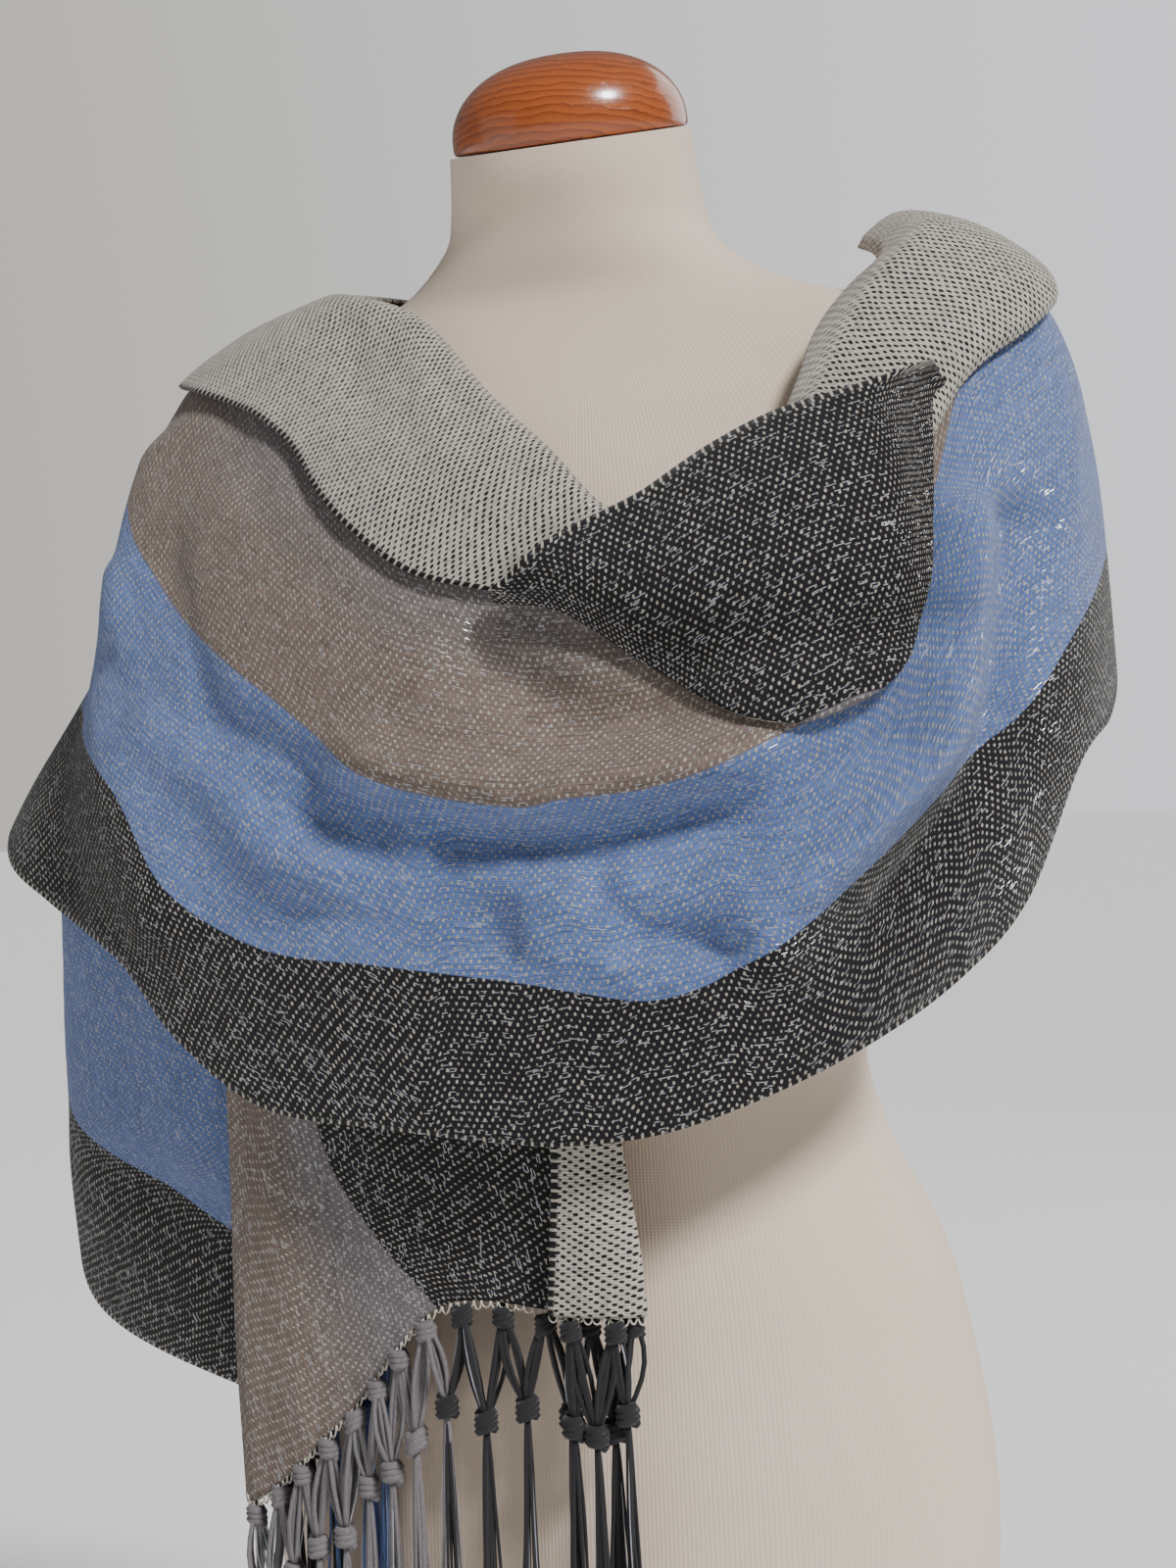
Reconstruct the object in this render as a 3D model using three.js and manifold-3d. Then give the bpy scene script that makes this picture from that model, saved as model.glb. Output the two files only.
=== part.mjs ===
// Woven stole in wide stripes, wound once round a limbless dress form on a round foot.
// Millimetres, up is +Z, the form looks towards -Y, the origin is under the foot.
import * as THREE from "three";
import Module from "manifold-3d";

const wasm = await Module();
wasm.setup();
const { Manifold, Mesh: SolidMesh } = wasm;

// cloth wall and the gap at a seam between two stretches
const WALL = 2;
const SEAM = 0.5;

// dress form, one row a level: up, half width, front depth, back depth, shift to the back
const FORM = [
  { up: 190, half: 160, front: 100, back: 106, shift: 0 },
  { up: 200, half: 167, front: 105, back: 112, shift: 0 },
  { up: 300, half: 176, front: 108, back: 120, shift: 0 },
  { up: 400, half: 162, front: 104, back: 108, shift: 0 },
  { up: 510, half: 122, front: 90, back: 82, shift: 0 },
  { up: 600, half: 138, front: 112, back: 88, shift: 0 },
  { up: 683, half: 156, front: 134, back: 96, shift: 0 },
  { up: 745, half: 168, front: 118, back: 101, shift: 0 },
  { up: 795, half: 186, front: 88, back: 97, shift: 0 },
  { up: 828, half: 194, front: 68, back: 85, shift: 3 },
  { up: 848, half: 160, front: 58, back: 71, shift: 4 },
  { up: 864, half: 108, front: 53, back: 61, shift: 3 },
  { up: 880, half: 78, front: 53, back: 56, shift: -1 },
  { up: 900, half: 62, front: 54, back: 53, shift: -4 },
  { up: 941, half: 57, front: 55, back: 55, shift: -11 },
];

// shell that the cloth hangs on, one row a level: reach to each side, front, back, shift
const HANG = [
  { up: 250, left: 304, right: 205, front: 150, back: 150, shift: 10 },
  { up: 400, left: 314, right: 205, front: 156, back: 145, shift: 10 },
  { up: 500, left: 312, right: 215, front: 162, back: 138, shift: 10 },
  { up: 600, left: 298, right: 222, front: 162, back: 130, shift: 10 },
  { up: 683, left: 264, right: 229, front: 158, back: 122, shift: 8 },
  { up: 750, left: 241, right: 231, front: 137, back: 118, shift: 6 },
  { up: 800, left: 229, right: 228, front: 102, back: 112, shift: 4 },
  { up: 835, left: 214, right: 217, front: 78, back: 98, shift: 4 },
  { up: 856, left: 180, right: 188, front: 68, back: 84, shift: 4 },
  { up: 872, left: 126, right: 136, front: 63, back: 74, shift: 2 },
  { up: 888, left: 88, right: 98, front: 61, back: 68, shift: 0 },
  { up: 910, left: 71, right: 76, front: 61, back: 62, shift: -6 },
  { up: 960, left: 64, right: 66, front: 60, back: 60, shift: -14 },
];
const ROUNDNESS = 2.2;

// soft folds of the front, one row a fold: turn and up of its three points, reach, depth out
const FOLDS = [
  { name: "lip of the taupe stripe", a: [-20, 650], b: [8, 632], c: [38, 648], reach: 13, out: 8 },
  { name: "hollow over the lip", a: [2, 688], b: [16, 668], c: [30, 672], reach: 23, out: -9 },
  { name: "shade under the lip", a: [-4, 610], b: [16, 606], c: [34, 622], reach: 14, out: -8 },
  { name: "swag valley", a: [-62, 700], b: [-40, 640], c: [2, 584], reach: 15, out: -7 },
  { name: "swag ridge", a: [-52, 668], b: [-30, 606], c: [20, 590], reach: 14, out: 7 },
  { name: "right fold edge", a: [64, 735], b: [58, 640], c: [38, 580], reach: 15, out: 11 },
  { name: "right fold valley", a: [75, 735], b: [69, 650], c: [50, 580], reach: 18, out: -9 },
  { name: "side fold", a: [-76, 800], b: [-62, 690], c: [-48, 585], reach: 17, out: 8 },
  { name: "side valley", a: [-88, 780], b: [-76, 690], c: [-66, 600], reach: 20, out: -8 },
  { name: "crease of the black band", a: [6, 712], b: [30, 688], c: [60, 696], reach: 13, out: -8 },
];

const radians = (degrees) => degrees * Math.PI / 180;

// smooth curve through equally spaced values
function smooth(values, place) {
  const last = values.length - 1;
  const index = Math.min(Math.floor(place), last - 1);
  const t = place - index;
  const b = values[index];
  const c = values[index + 1];
  const a = index > 0 ? values[index - 1] : 2 * b - c;
  const d = index + 2 <= last ? values[index + 2] : 2 * c - b;
  return 0.5 * (2 * b + (c - a) * t + (2 * a - 5 * b + 4 * c - d) * t * t + (3 * b - a - 3 * c + d) * t ** 3);
}

// row of a level table at any height, blended without overshoot
function levelAt(table, up) {
  const height = Math.min(Math.max(up, table[0].up), table[table.length - 1].up);
  let index = table.findIndex((row) => row.up >= height);
  index = Math.max(index, 1);
  const slope = (i, key) => {
    if (i <= 0 || i >= table.length - 1) return 0;
    const before = (table[i][key] - table[i - 1][key]) / (table[i].up - table[i - 1].up);
    const after = (table[i + 1][key] - table[i][key]) / (table[i + 1].up - table[i].up);
    return before * after <= 0 ? 0 : 2 * before * after / (before + after);
  };
  const low = table[index - 1];
  const high = table[index];
  const span = high.up - low.up;
  const t = (height - low.up) / span;
  const level = {};
  for (const key of Object.keys(low)) {
    if (key === "up") continue;
    const start = low[key] * (1 + 2 * t) * (1 - t) ** 2 + high[key] * t * t * (3 - 2 * t);
    level[key] = start + span * (slope(index - 1, key) * t * (1 - t) ** 2 - slope(index, key) * t * t * (1 - t));
  }
  return level;
}

// point of the hanging shell at a turn from the front, in degrees to the right
function shell(turn, up) {
  const level = levelAt(HANG, up);
  const across = Math.sin(radians(turn));
  const along = -Math.cos(radians(turn));
  const side = across < 0 ? level.left : level.right;
  const depth = along < 0 ? level.front : level.back;
  const sum = Math.abs(across / side) ** ROUNDNESS + Math.abs(along / depth) ** ROUNDNESS;
  const radius = sum ** (-1 / ROUNDNESS);
  return new THREE.Vector3(radius * across, level.shift + radius * along, up);
}

// how far the folds push the cloth out at a place
function relief(turn, up) {
  let sum = 0;
  const at = new THREE.Vector2(radians(turn) * 190, up);
  for (const fold of FOLDS) {
    const [a, b, c] = [fold.a, fold.b, fold.c].map(([t, u]) => new THREE.Vector2(radians(t) * 190, u));
    const gap = Math.min(legGap(at, a, b), legGap(at, b, c));
    sum += fold.out * Math.exp(-((gap / fold.reach) ** 2));
  }
  return sum;
}

function legGap(at, start, end) {
  const leg = end.clone().sub(start);
  const t = THREE.MathUtils.clamp(at.clone().sub(start).dot(leg) / leg.lengthSq(), 0, 1);
  return at.distanceTo(start.clone().addScaledVector(leg, t));
}

// point off the shell, moved out along the shell's normal
function hung(turn, up, out) {
  const here = shell(turn, up);
  const round = shell(turn + 0.5, up).sub(shell(turn - 0.5, up));
  const rise = shell(turn, up + 1).sub(shell(turn, up - 1));
  const normal = round.cross(rise).normalize();
  return here.addScaledVector(normal, out + relief(turn, up));
}

// closed mesh of a cloth wall: the grid is its outer face, the inner face lies WALL behind it
function clothSolid(grid) {
  const rows = grid.length;
  const columns = grid[0].length;
  const at = (i, j) => grid[THREE.MathUtils.clamp(i, 0, rows - 1)][THREE.MathUtils.clamp(j, 0, columns - 1)];
  const outer = [];
  const inner = [];
  for (let i = 0; i < rows; i += 1) {
    for (let j = 0; j < columns; j += 1) {
      const along = at(i + 1, j).clone().sub(at(i - 1, j));
      const across = at(i, j + 1).clone().sub(at(i, j - 1));
      const normal = along.cross(across).normalize();
      outer.push(at(i, j).clone());
      inner.push(at(i, j).clone().addScaledVector(normal, -WALL));
    }
  }
  const triangles = [];
  const count = rows * columns;
  const quad = (a, b, c, d) => triangles.push([a, b, c], [a, c, d]);
  for (let i = 0; i < rows - 1; i += 1) {
    for (let j = 0; j < columns - 1; j += 1) {
      const k = i * columns + j;
      quad(k, k + columns, k + columns + 1, k + 1);
      quad(count + k, count + k + 1, count + k + columns + 1, count + k + columns);
    }
  }
  const edge = [];
  for (let j = 0; j < columns; j += 1) edge.push(j);
  for (let i = 1; i < rows; i += 1) edge.push(i * columns + columns - 1);
  for (let j = columns - 2; j >= 0; j -= 1) edge.push((rows - 1) * columns + j);
  for (let i = rows - 2; i > 0; i -= 1) edge.push(i * columns);
  edge.forEach((a, index) => {
    const b = edge[(index + 1) % edge.length];
    quad(a, b, count + b, count + a);
  });
  return solidFrom([...outer, ...inner], triangles);
}

// manifold solid from points and triangles, turned outwards when it is inside out
function solidFrom(points, triangles) {
  const build = (faces) => new Manifold(new SolidMesh({
    numProp: 3,
    vertProperties: new Float32Array(points.flatMap((p) => [p.x, p.y, p.z])),
    triVerts: new Uint32Array(faces.flat()),
  }));
  const solid = build(triangles);
  return solid.volume() > 0 ? solid : build(triangles.map(([a, b, c]) => [a, c, b]));
}

// grid through stations: each station is a list of points, one for each line of the cloth
function lattice(stations, alongSteps, acrossSteps) {
  const pick = (list, place) => new THREE.Vector3(
    ...["x", "y", "z"].map((axis) => smooth(list.map((p) => p[axis]), place)),
  );
  const grid = [];
  for (let i = 0; i <= (stations.length - 1) * alongSteps; i += 1) {
    const across = stations[0].map((_, k) => pick(stations.map((s) => s[k]), i / alongSteps));
    const row = [];
    for (let j = 0; j <= (across.length - 1) * acrossSteps; j += 1) row.push(pick(across, j / acrossSteps));
    grid.push(row);
  }
  return grid;
}

// grid of hung points: the lines are blended first, then set on the shell with its folds
function hungGrid(stations, alongSteps, acrossSteps) {
  const cells = stations.map((station) => station.map(([turn, up, out]) => new THREE.Vector3(turn, up, out)));
  return lattice(cells, alongSteps, acrossSteps).map((row) => row.map((c) => hung(c.x, c.y, c.z)));
}

// front wrap, one row a turn: height of its top, of the stripe lines and of the lower selvedge,
// and how far the lower selvedge flares out
const FRONT_WRAP = [
  { turn: -90, top: 851, blue: 826, black: 694, hem: 626, flare: 16 },
  { turn: -80, top: 850, blue: 798, black: 684, hem: 618, flare: 18 },
  { turn: -67, top: 846, blue: 757, black: 668, hem: 588, flare: 8 },
  { turn: -55, top: 834, blue: 724, black: 640, hem: 566, flare: 4 },
  { turn: -46, top: 824, blue: 705, black: 594, hem: 530, flare: 5 },
  { turn: -34, top: 802, blue: 680, black: 570, hem: 502, flare: 5 },
  { turn: -16, top: 766, blue: 643, black: 563, hem: 495, flare: 5 },
  { turn: 5, top: 722, blue: 629, black: 556, hem: 490, flare: 5 },
  { turn: 14, top: 716, blue: 631, black: 552, hem: 490, flare: 5 },
  { turn: 26, top: 694, blue: 635, black: 549, hem: 495, flare: 5 },
  { turn: 38, top: 676, blue: 648, black: 565, hem: 508, flare: 5 },
  { turn: 50, top: 715, blue: 674, black: 597, hem: 527, flare: 5 },
  { turn: 61, top: 768, blue: 742, black: 630, hem: 551, flare: 5 },
  { turn: 71, top: 812, blue: 797, black: 655, hem: 583, flare: 5 },
  { turn: 80, top: 840, blue: 826, black: 694, hem: 640, flare: 7 },
  { turn: 89, top: 856, blue: 846, black: 724, hem: 660, flare: 9 },
  { turn: 98, top: 860, blue: 850, black: 746, hem: 690, flare: 10 },
];
const WRAP_OUT = 2;

function wrapStation({ turn, top, blue, black, hem, flare }) {
  return [
    [turn, top, WRAP_OUT],
    [turn, (top + blue) / 2, WRAP_OUT],
    [turn, blue, WRAP_OUT + 1],
    [turn, (2 * blue + black) / 3, WRAP_OUT],
    [turn, (blue + 2 * black) / 3, WRAP_OUT + flare / 4],
    [turn, black, WRAP_OUT + flare / 2],
    [turn, hem, WRAP_OUT + flare],
  ];
}

// left collar, the black stripe turned over: turn, up and out of its fold and its selvedge
const COLLAR_LEFT = [
  { at: "under the band", fold: [31, 739, 8], selvedge: [15, 714, 8] },
  { at: "tip", fold: [21, 751, 8], selvedge: [2, 717, 7.4] },
  { at: "breast", fold: [8, 784, 9], selvedge: [-13, 727, 8] },
  { at: "chest", fold: [-22, 829, 9], selvedge: [-30, 757, 9] },
  { at: "collarbone", fold: [-46, 858, 8], selvedge: [-48, 792, 9] },
  { at: "front of crest", fold: [-66, 870, 8], selvedge: [-69, 822, 9] },
  { at: "crest", fold: [-88, 878, 8], selvedge: [-86, 839, 9] },
  { at: "behind crest", fold: [-112, 879, 11], selvedge: [-104, 833, 12] },
  { at: "back", fold: [-140, 868, 20], selvedge: [-136, 852, 20] },
];

// how far a turned edge curls in towards the form
const CURL = 5.5;

function collarStation({ fold, selvedge }) {
  const between = (t, lift) => fold.map((value, i) => value + (selvedge[i] - value) * t + (i === 2 ? lift : 0));
  return [between(0, -CURL), between(0.08, 0), between(0.35, 1), between(0.7, 0.5), selvedge];
}

// right black band: height of its selvedge, crease and lower line, and how far each stands out
const BAND_RIGHT = [
  { turn: 3, top: 717, crease: 714, low: 711, out: 14, lowOut: 14 },
  { turn: 14, top: 733, crease: 714, low: 706, out: 15, lowOut: 13 },
  { turn: 26, top: 747, crease: 698, low: 683, out: 15, lowOut: 6.5 },
  { turn: 38, top: 764, crease: 690, low: 660, out: 17, lowOut: 6.6 },
  { turn: 47.5, top: 776, crease: 692, low: 661, out: 18, lowOut: 9 },
  { turn: 56, top: 784, crease: 712, low: 684, out: 19, lowOut: 11 },
  { turn: 60.5, top: 788, crease: 762, low: 742, out: 21, lowOut: 14 },
  { turn: 64.5, top: 793, crease: 786, low: 778, out: 22, lowOut: 19 },
  { turn: 67, top: 796, crease: 792, low: 787, out: 23, lowOut: 21 },
];

// right lapel, rolled with its reverse outwards: its fold at the neck, its crown and its edge
const LAPEL_RIGHT = [
  { at: "under the band", neck: [42, 758, 8.2], crown: [47, 758, 10], edge: [56, 750, 11.6] },
  { at: "chest", neck: [51, 788, 8.6], crown: [55, 789, 12], edge: [63, 772, 10.9] },
  { at: "collarbone", neck: [60, 822, 8.6], crown: [64, 820, 17], edge: [71, 802, 14] },
  { at: "front of crest", neck: [70, 849, 8.6], crown: [73, 847, 20], edge: [79, 822, 16] },
  { at: "crest", neck: [84, 871.5, 9], crown: [87, 867, 24], edge: [90, 846, 18] },
  { at: "behind crest", neck: [104, 866, 12], crown: [102, 861, 22], edge: [100, 844, 18] },
  { at: "shoulder blade", neck: [123, 865, 13], crown: [119, 853, 18], edge: [113, 830, 15] },
  { at: "back", neck: [146, 852, 13.5], crown: [145, 847, 14], edge: [143, 838, 13] },
];

function lapelStation({ neck, crown, edge }) {
  const between = (a, b, t, lift) => a.map((value, i) => value + (b[i] - value) * t + (i === 2 ? lift : 0));
  return [
    between(edge, edge, 0, -CURL).map((value, i) => value + [0.8, -3, 0][i]),
    edge,
    between(crown, edge, 0.5, 1.5),
    crown,
    between(neck, crown, 0.2, 0),
    between(neck, neck, 0, -CURL),
  ];
}

// hanging front end: height at the right and at the left fold, turn of each of its lines
const FRONT_END = [
  { at: "edge", up: 414, low: 318, strip: 6, fold: 21, seam: -14, left: -48, out: -10, gap: 7 },
  { at: "middle", up: 446, low: 405, strip: 7, fold: 20, seam: -24, left: -47, out: -10, gap: 7 },
  { at: "hem", up: 488, low: 488, strip: 8, fold: 18, seam: -31, left: -45, out: -9, gap: 7 },
  { at: "under wrap", up: 570, low: 575, strip: 7, fold: 15, seam: -30, left: -46, out: -7, gap: 6 },
  { at: "bust", up: 665, low: 668, strip: -4, fold: 2, seam: -32, left: -51, out: -3.5, gap: 4 },
  { at: "chest", up: 750, low: 745, strip: -16, fold: -11, seam: -42, left: -62, out: -3, gap: 4 },
];

function frontEnd() {
  return FRONT_END.map(({ up, low, strip, fold, seam, left, out, gap }) => {
    const back = out - gap;
    return [
      [strip, up, out],
      [(strip + 2 * fold) / 3, up, out + 1],
      [fold, up, out - gap / 2],
      [(strip + 2 * fold) / 3, up, back - 1],
      [strip, up, back],
      [seam, up - 2, back],
      [(seam + left) / 2, (up + low) / 2 - 6, back + 1],
      [left + 3, low, back],
      [left, low, back - 2.5],
    ];
  });
}

// left flare behind the front end: turn and up of its hidden edge, stripe line and selvedge
const LEFT_FLARE = [
  { at: "under wrap", inner: [-59, 660, -6], black: [-76, 655, 2], selvedge: [-88, 640, 13.8] },
  { at: "corner", inner: [-54, 594, -20], black: [-84, 580, -13], selvedge: [-98, 560, -10] },
  { at: "hip", inner: [-45, 530, -32], black: [-82, 522, -20], selvedge: [-94, 476, -18] },
  { at: "side", inner: [-40, 486, -34], black: [-73, 480, -24], selvedge: [-84, 425, -22] },
  { at: "behind end", inner: [-32, 444, -34], black: [-56, 448, -32], selvedge: [-73, 386, -28] },
  { at: "edge", inner: [-24, 402, -35], black: [-36, 408, -37], selvedge: [-46, 356, -38] },
];

function leftFlare() {
  const between = (a, b) => a.map((value, i) => (value + b[i]) / 2 + (i === 2 ? 1.5 : 0));
  return LEFT_FLARE.map(({ inner, black, selvedge }) => [
    inner,
    between(inner, black),
    black,
    between(black, selvedge),
    selvedge,
  ]);
}

// drape across the back, from the right shoulder to the left one under the back end
const BACK_DRAPE = [
  { turn: 98.2, top: 856, hem: 690, out: 2, flare: 10 },
  { turn: 120, top: 857, hem: 668, out: 2, flare: 9 },
  { turn: 150, top: 868, hem: 640, out: 0, flare: 6 },
  { turn: 180, top: 890, hem: 628, out: -3, flare: 2 },
  { turn: 210, top: 892, hem: 640, out: -8, flare: 0 },
  { turn: 235, top: 888, hem: 675, out: -12.1, flare: 0 },
  { turn: 258, top: 886, hem: 720, out: -11.3, flare: 0 },
];

function backDrape() {
  return BACK_DRAPE.map(({ turn, top, hem, out, flare }) => [0, 0.25, 0.5, 0.75, 1].map(
    (t) => [turn, top + (hem - top) * t, out + flare * t * t + 2 * Math.sin(radians(turn * 9)) * t],
  ));
}

// back end, hanging from the left shoulder: turn and up of its top line and its selvedge
const BACK_END = [
  { at: "side", top: [-90.2, 851, 2], hem: [-90.2, 626, 18] },
  { at: "behind arm", top: [-112, 856, 4], hem: [-100, 604, 20] },
  { at: "shoulder blade", top: [-136, 846, 11], hem: [-112, 580, 20] },
  { at: "spine", top: [-158, 812, 16], hem: [-126, 560, 19] },
  { at: "edge", top: [-172, 768, 19], hem: [-140, 548, 19] },
];

function backEnd() {
  return BACK_END.map(({ top, hem }) => [0, 0.25, 0.5, 0.75, 1].map((t) => [
    top[0] + (hem[0] - top[0]) * t,
    top[1] + (hem[1] - top[1]) * t,
    top[2] + (hem[2] - top[2]) * t * t,
  ]));
}

// knotted fringe: knots along the edge, their spread, drop to the second knots, loose ends
const FRINGE = { strip: 5, drop: 44, tail: 104, knot: 4.2, cord: 1.7, ends: 2 };

// closed cord of three sides through points
function cord(points, radius) {
  const rings = points.map((p, i) => [0, 1, 2].map((k) => {
    const angle = k * 2 * Math.PI / 3 + i * 0.5;
    const r = i === points.length - 1 ? radius * 0.55 : radius;
    return new THREE.Vector3(p.x + r * Math.cos(angle), p.y + r * Math.sin(angle), p.z);
  }));
  const triangles = [[0, 2, 1]];
  for (let i = 0; i < rings.length - 1; i += 1) {
    for (let k = 0; k < 3; k += 1) {
      const [a, b] = [i * 3 + k, i * 3 + (k + 1) % 3];
      triangles.push([a, b, b + 3], [a, b + 3, a + 3]);
    }
  }
  const last = (rings.length - 1) * 3;
  triangles.push([last, last + 1, last + 2]);
  return solidFrom(rings.flat(), triangles);
}

function knot(at) {
  const [r, h] = [FRINGE.knot, FRINGE.knot * 1.4];
  const points = [[r, 0, 0], [0, r, 0], [-r, 0, 0], [0, -r, 0], [0, 0, h], [0, 0, -h]];
  const triangles = [];
  for (let k = 0; k < 4; k += 1) triangles.push([k, (k + 1) % 4, 4], [(k + 1) % 4, k, 5]);
  return solidFrom(points.map(([x, y, z]) => new THREE.Vector3(x, y, z).add(at)), triangles);
}

// fringe under the first row of a cloth grid, with its strip parted from the cloth
function fringe(grid, count) {
  const edge = grid[0].map((p, j) => {
    const away = new THREE.Vector3(0, 0, -1);
    const across = grid[0][Math.min(j + 1, grid[0].length - 1)].clone().sub(grid[0][Math.max(j - 1, 0)]);
    const normal = grid[1][j].clone().sub(p).cross(across).normalize();
    const start = p.clone().addScaledVector(away, SEAM + 0.45 + WALL * Math.abs(normal.z));
    return { start, end: start.clone().addScaledVector(away, FRINGE.strip), normal };
  });
  const solids = [clothSolid([edge.map((e) => e.end), edge.map((e) => e.start)])];
  const reach = [0];
  for (let j = 1; j < edge.length; j += 1) reach.push(reach[j - 1] + edge[j].end.distanceTo(edge[j - 1].end));
  const along = (share) => {
    const goal = share * reach[reach.length - 1];
    let j = 1;
    while (j < reach.length - 1 && reach[j] < goal) j += 1;
    const t = (goal - reach[j - 1]) / (reach[j] - reach[j - 1]);
    const normal = edge[j - 1].normal.clone().lerp(edge[j].normal, t).normalize();
    return edge[j - 1].end.clone().lerp(edge[j].end, t).addScaledVector(normal, -WALL / 2);
  };
  const roots = Array.from({ length: count }, (_, i) => along((i + 0.5) / count).add(new THREE.Vector3(0, 0, 2)));
  const tassels = [];
  for (let i = 0; i <= count; i += 1) {
    const [a, b] = [roots[Math.max(i - 1, 0)], roots[Math.min(i, count - 1)]];
    const drop = FRINGE.drop + 5 * Math.sin(i * 2.4);
    tassels.push(a.clone().lerp(b, 0.5).add(new THREE.Vector3(0, 0, -drop)));
  }
  roots.forEach((at, i) => {
    solids.push(cord([at, tassels[i]], FRINGE.cord), cord([at, tassels[i + 1]], FRINGE.cord));
  });
  tassels.forEach((at, i) => {
    solids.push(knot(at));
    for (let k = 0; k < FRINGE.ends; k += 1) {
      const angle = k * 2 * Math.PI / FRINGE.ends + i;
      const side = new THREE.Vector3(Math.cos(angle), Math.sin(angle), 0);
      const tail = FRINGE.tail * (0.9 + 0.1 * Math.sin(i * 3 + k * 2));
      const end = at.clone().addScaledVector(side, 4 + Math.sin(i + k)).add(new THREE.Vector3(0, 0, -tail));
      solids.push(cord([at, end], FRINGE.cord));
    }
  });
  return Manifold.union(solids).simplify(0.15);
}

// closed loft of the dress form, its neck tipped forward
const NECK_TIP = 17;

function tipAt(up) {
  return Math.tan(radians(NECK_TIP)) * THREE.MathUtils.smoothstep(up, 880, 941);
}

function formSolid() {
  const segments = 40;
  const levels = [];
  FORM.forEach((row, index) => {
    levels.push(row.up);
    const next = FORM[index + 1];
    if (next && next.up - row.up > 45) levels.push((row.up + next.up) / 2);
  });
  const points = levels.flatMap((up) => {
    const level = levelAt(FORM, up);
    return Array.from({ length: segments }, (_, k) => {
      const angle = k * 2 * Math.PI / segments;
      const [c, s] = [Math.cos(angle), Math.sin(angle)];
      const depth = (s < 0 ? level.front : level.back) * Math.sign(s) * Math.abs(s) ** (2 / ROUNDNESS);
      const side = level.half * Math.sign(c) * Math.abs(c) ** (2 / ROUNDNESS);
      return new THREE.Vector3(side, level.shift + depth, up + depth * tipAt(up));
    });
  });
  const triangles = [];
  for (let i = 0; i < levels.length - 1; i += 1) {
    for (let k = 0; k < segments; k += 1) {
      const a = i * segments + k;
      const b = i * segments + (k + 1) % segments;
      triangles.push([a, b, b + segments], [a, b + segments, a + segments]);
    }
  }
  const foot = points.length;
  const top = (levels.length - 1) * segments;
  points.push(new THREE.Vector3(0, 0, levels[0]));
  points.push(new THREE.Vector3(0, FORM[FORM.length - 1].shift, levels[levels.length - 1]));
  for (let k = 0; k < segments; k += 1) {
    const next = (k + 1) % segments;
    triangles.push([foot, next, k], [foot + 1, top + k, top + next]);
  }
  return solidFrom(points, triangles);
}

// solid turned about the up axis from a profile of [radius, up] that starts and ends on the axis
function turnedSolid(profile, segments) {
  const points = [];
  const triangles = [];
  const inside = profile.slice(1, -1);
  inside.forEach(([radius, up]) => {
    for (let k = 0; k < segments; k += 1) {
      const angle = k * 2 * Math.PI / segments;
      points.push(new THREE.Vector3(radius * Math.cos(angle), radius * Math.sin(angle), up));
    }
  });
  const first = points.length;
  points.push(new THREE.Vector3(0, 0, profile[0][1]));
  points.push(new THREE.Vector3(0, 0, profile[profile.length - 1][1]));
  for (let k = 0; k < segments; k += 1) {
    const next = (k + 1) % segments;
    for (let i = 0; i < inside.length - 1; i += 1) {
      const [a, b] = [i * segments + k, i * segments + next];
      triangles.push([a, b, b + segments], [a, b + segments, a + segments]);
    }
    const top = (inside.length - 1) * segments;
    triangles.push([first, next, k], [first + 1, top + k, top + next]);
  }
  return solidFrom(points, triangles);
}

const CAP = { radius: 56, height: 40, rim: 5, gap: 0.4 };

function capSolid() {
  const profile = [[0, 0], [CAP.radius - 2, 0], [CAP.radius, 2], [CAP.radius, CAP.rim]];
  for (let k = 1; k < 7; k += 1) {
    const angle = radians(k * 90 / 7);
    const rise = CAP.rim + (CAP.height - CAP.rim) * Math.sin(angle);
    profile.push([CAP.radius * Math.cos(angle) ** 0.85, rise]);
  }
  profile.push([0, CAP.height]);
  const neck = FORM[FORM.length - 1];
  return turnedSolid(profile, 40).rotate([NECK_TIP, 0, 0]).translate([0, neck.shift, neck.up + CAP.gap]);
}

const STAND = { radius: 150, edge: 12, hub: 26, height: 34, pole: 17, gap: 0.4 };

function footSolid() {
  const { radius, edge, hub, height } = STAND;
  const profile = [[0, 0], [radius - 2, 0], [radius, 2], [radius, edge - 2], [radius - 4, edge]];
  profile.push([hub + 30, edge + 5], [hub + 6, edge + 9], [hub, edge + 14], [hub - 3, height], [0, height]);
  return turnedSolid(profile, 48);
}

function poleSolid() {
  const [low, high] = [STAND.height + STAND.gap, FORM[0].up - STAND.gap];
  return turnedSolid([[0, low], [STAND.pole, low], [STAND.pole, high], [0, high]], 32);
}

const clothColour = 0x6f86a8;
const MATERIALS = {
  woven_cloth: new THREE.MeshStandardMaterial({ name: "woven_cloth", color: clothColour, roughness: 0.9 }),
  fringe_yarn: new THREE.MeshStandardMaterial({ name: "fringe_yarn", color: 0x55585f, roughness: 0.9 }),
  jersey: new THREE.MeshStandardMaterial({ name: "jersey", color: 0xd9d0c3, roughness: 0.95 }),
  cap_wood: new THREE.MeshStandardMaterial({ name: "cap_wood", color: 0x9a5a2c, roughness: 0.35 }),
  stand_wood: new THREE.MeshStandardMaterial({ name: "stand_wood", color: 0x9a5a2c, roughness: 0.45 }),
};

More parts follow.
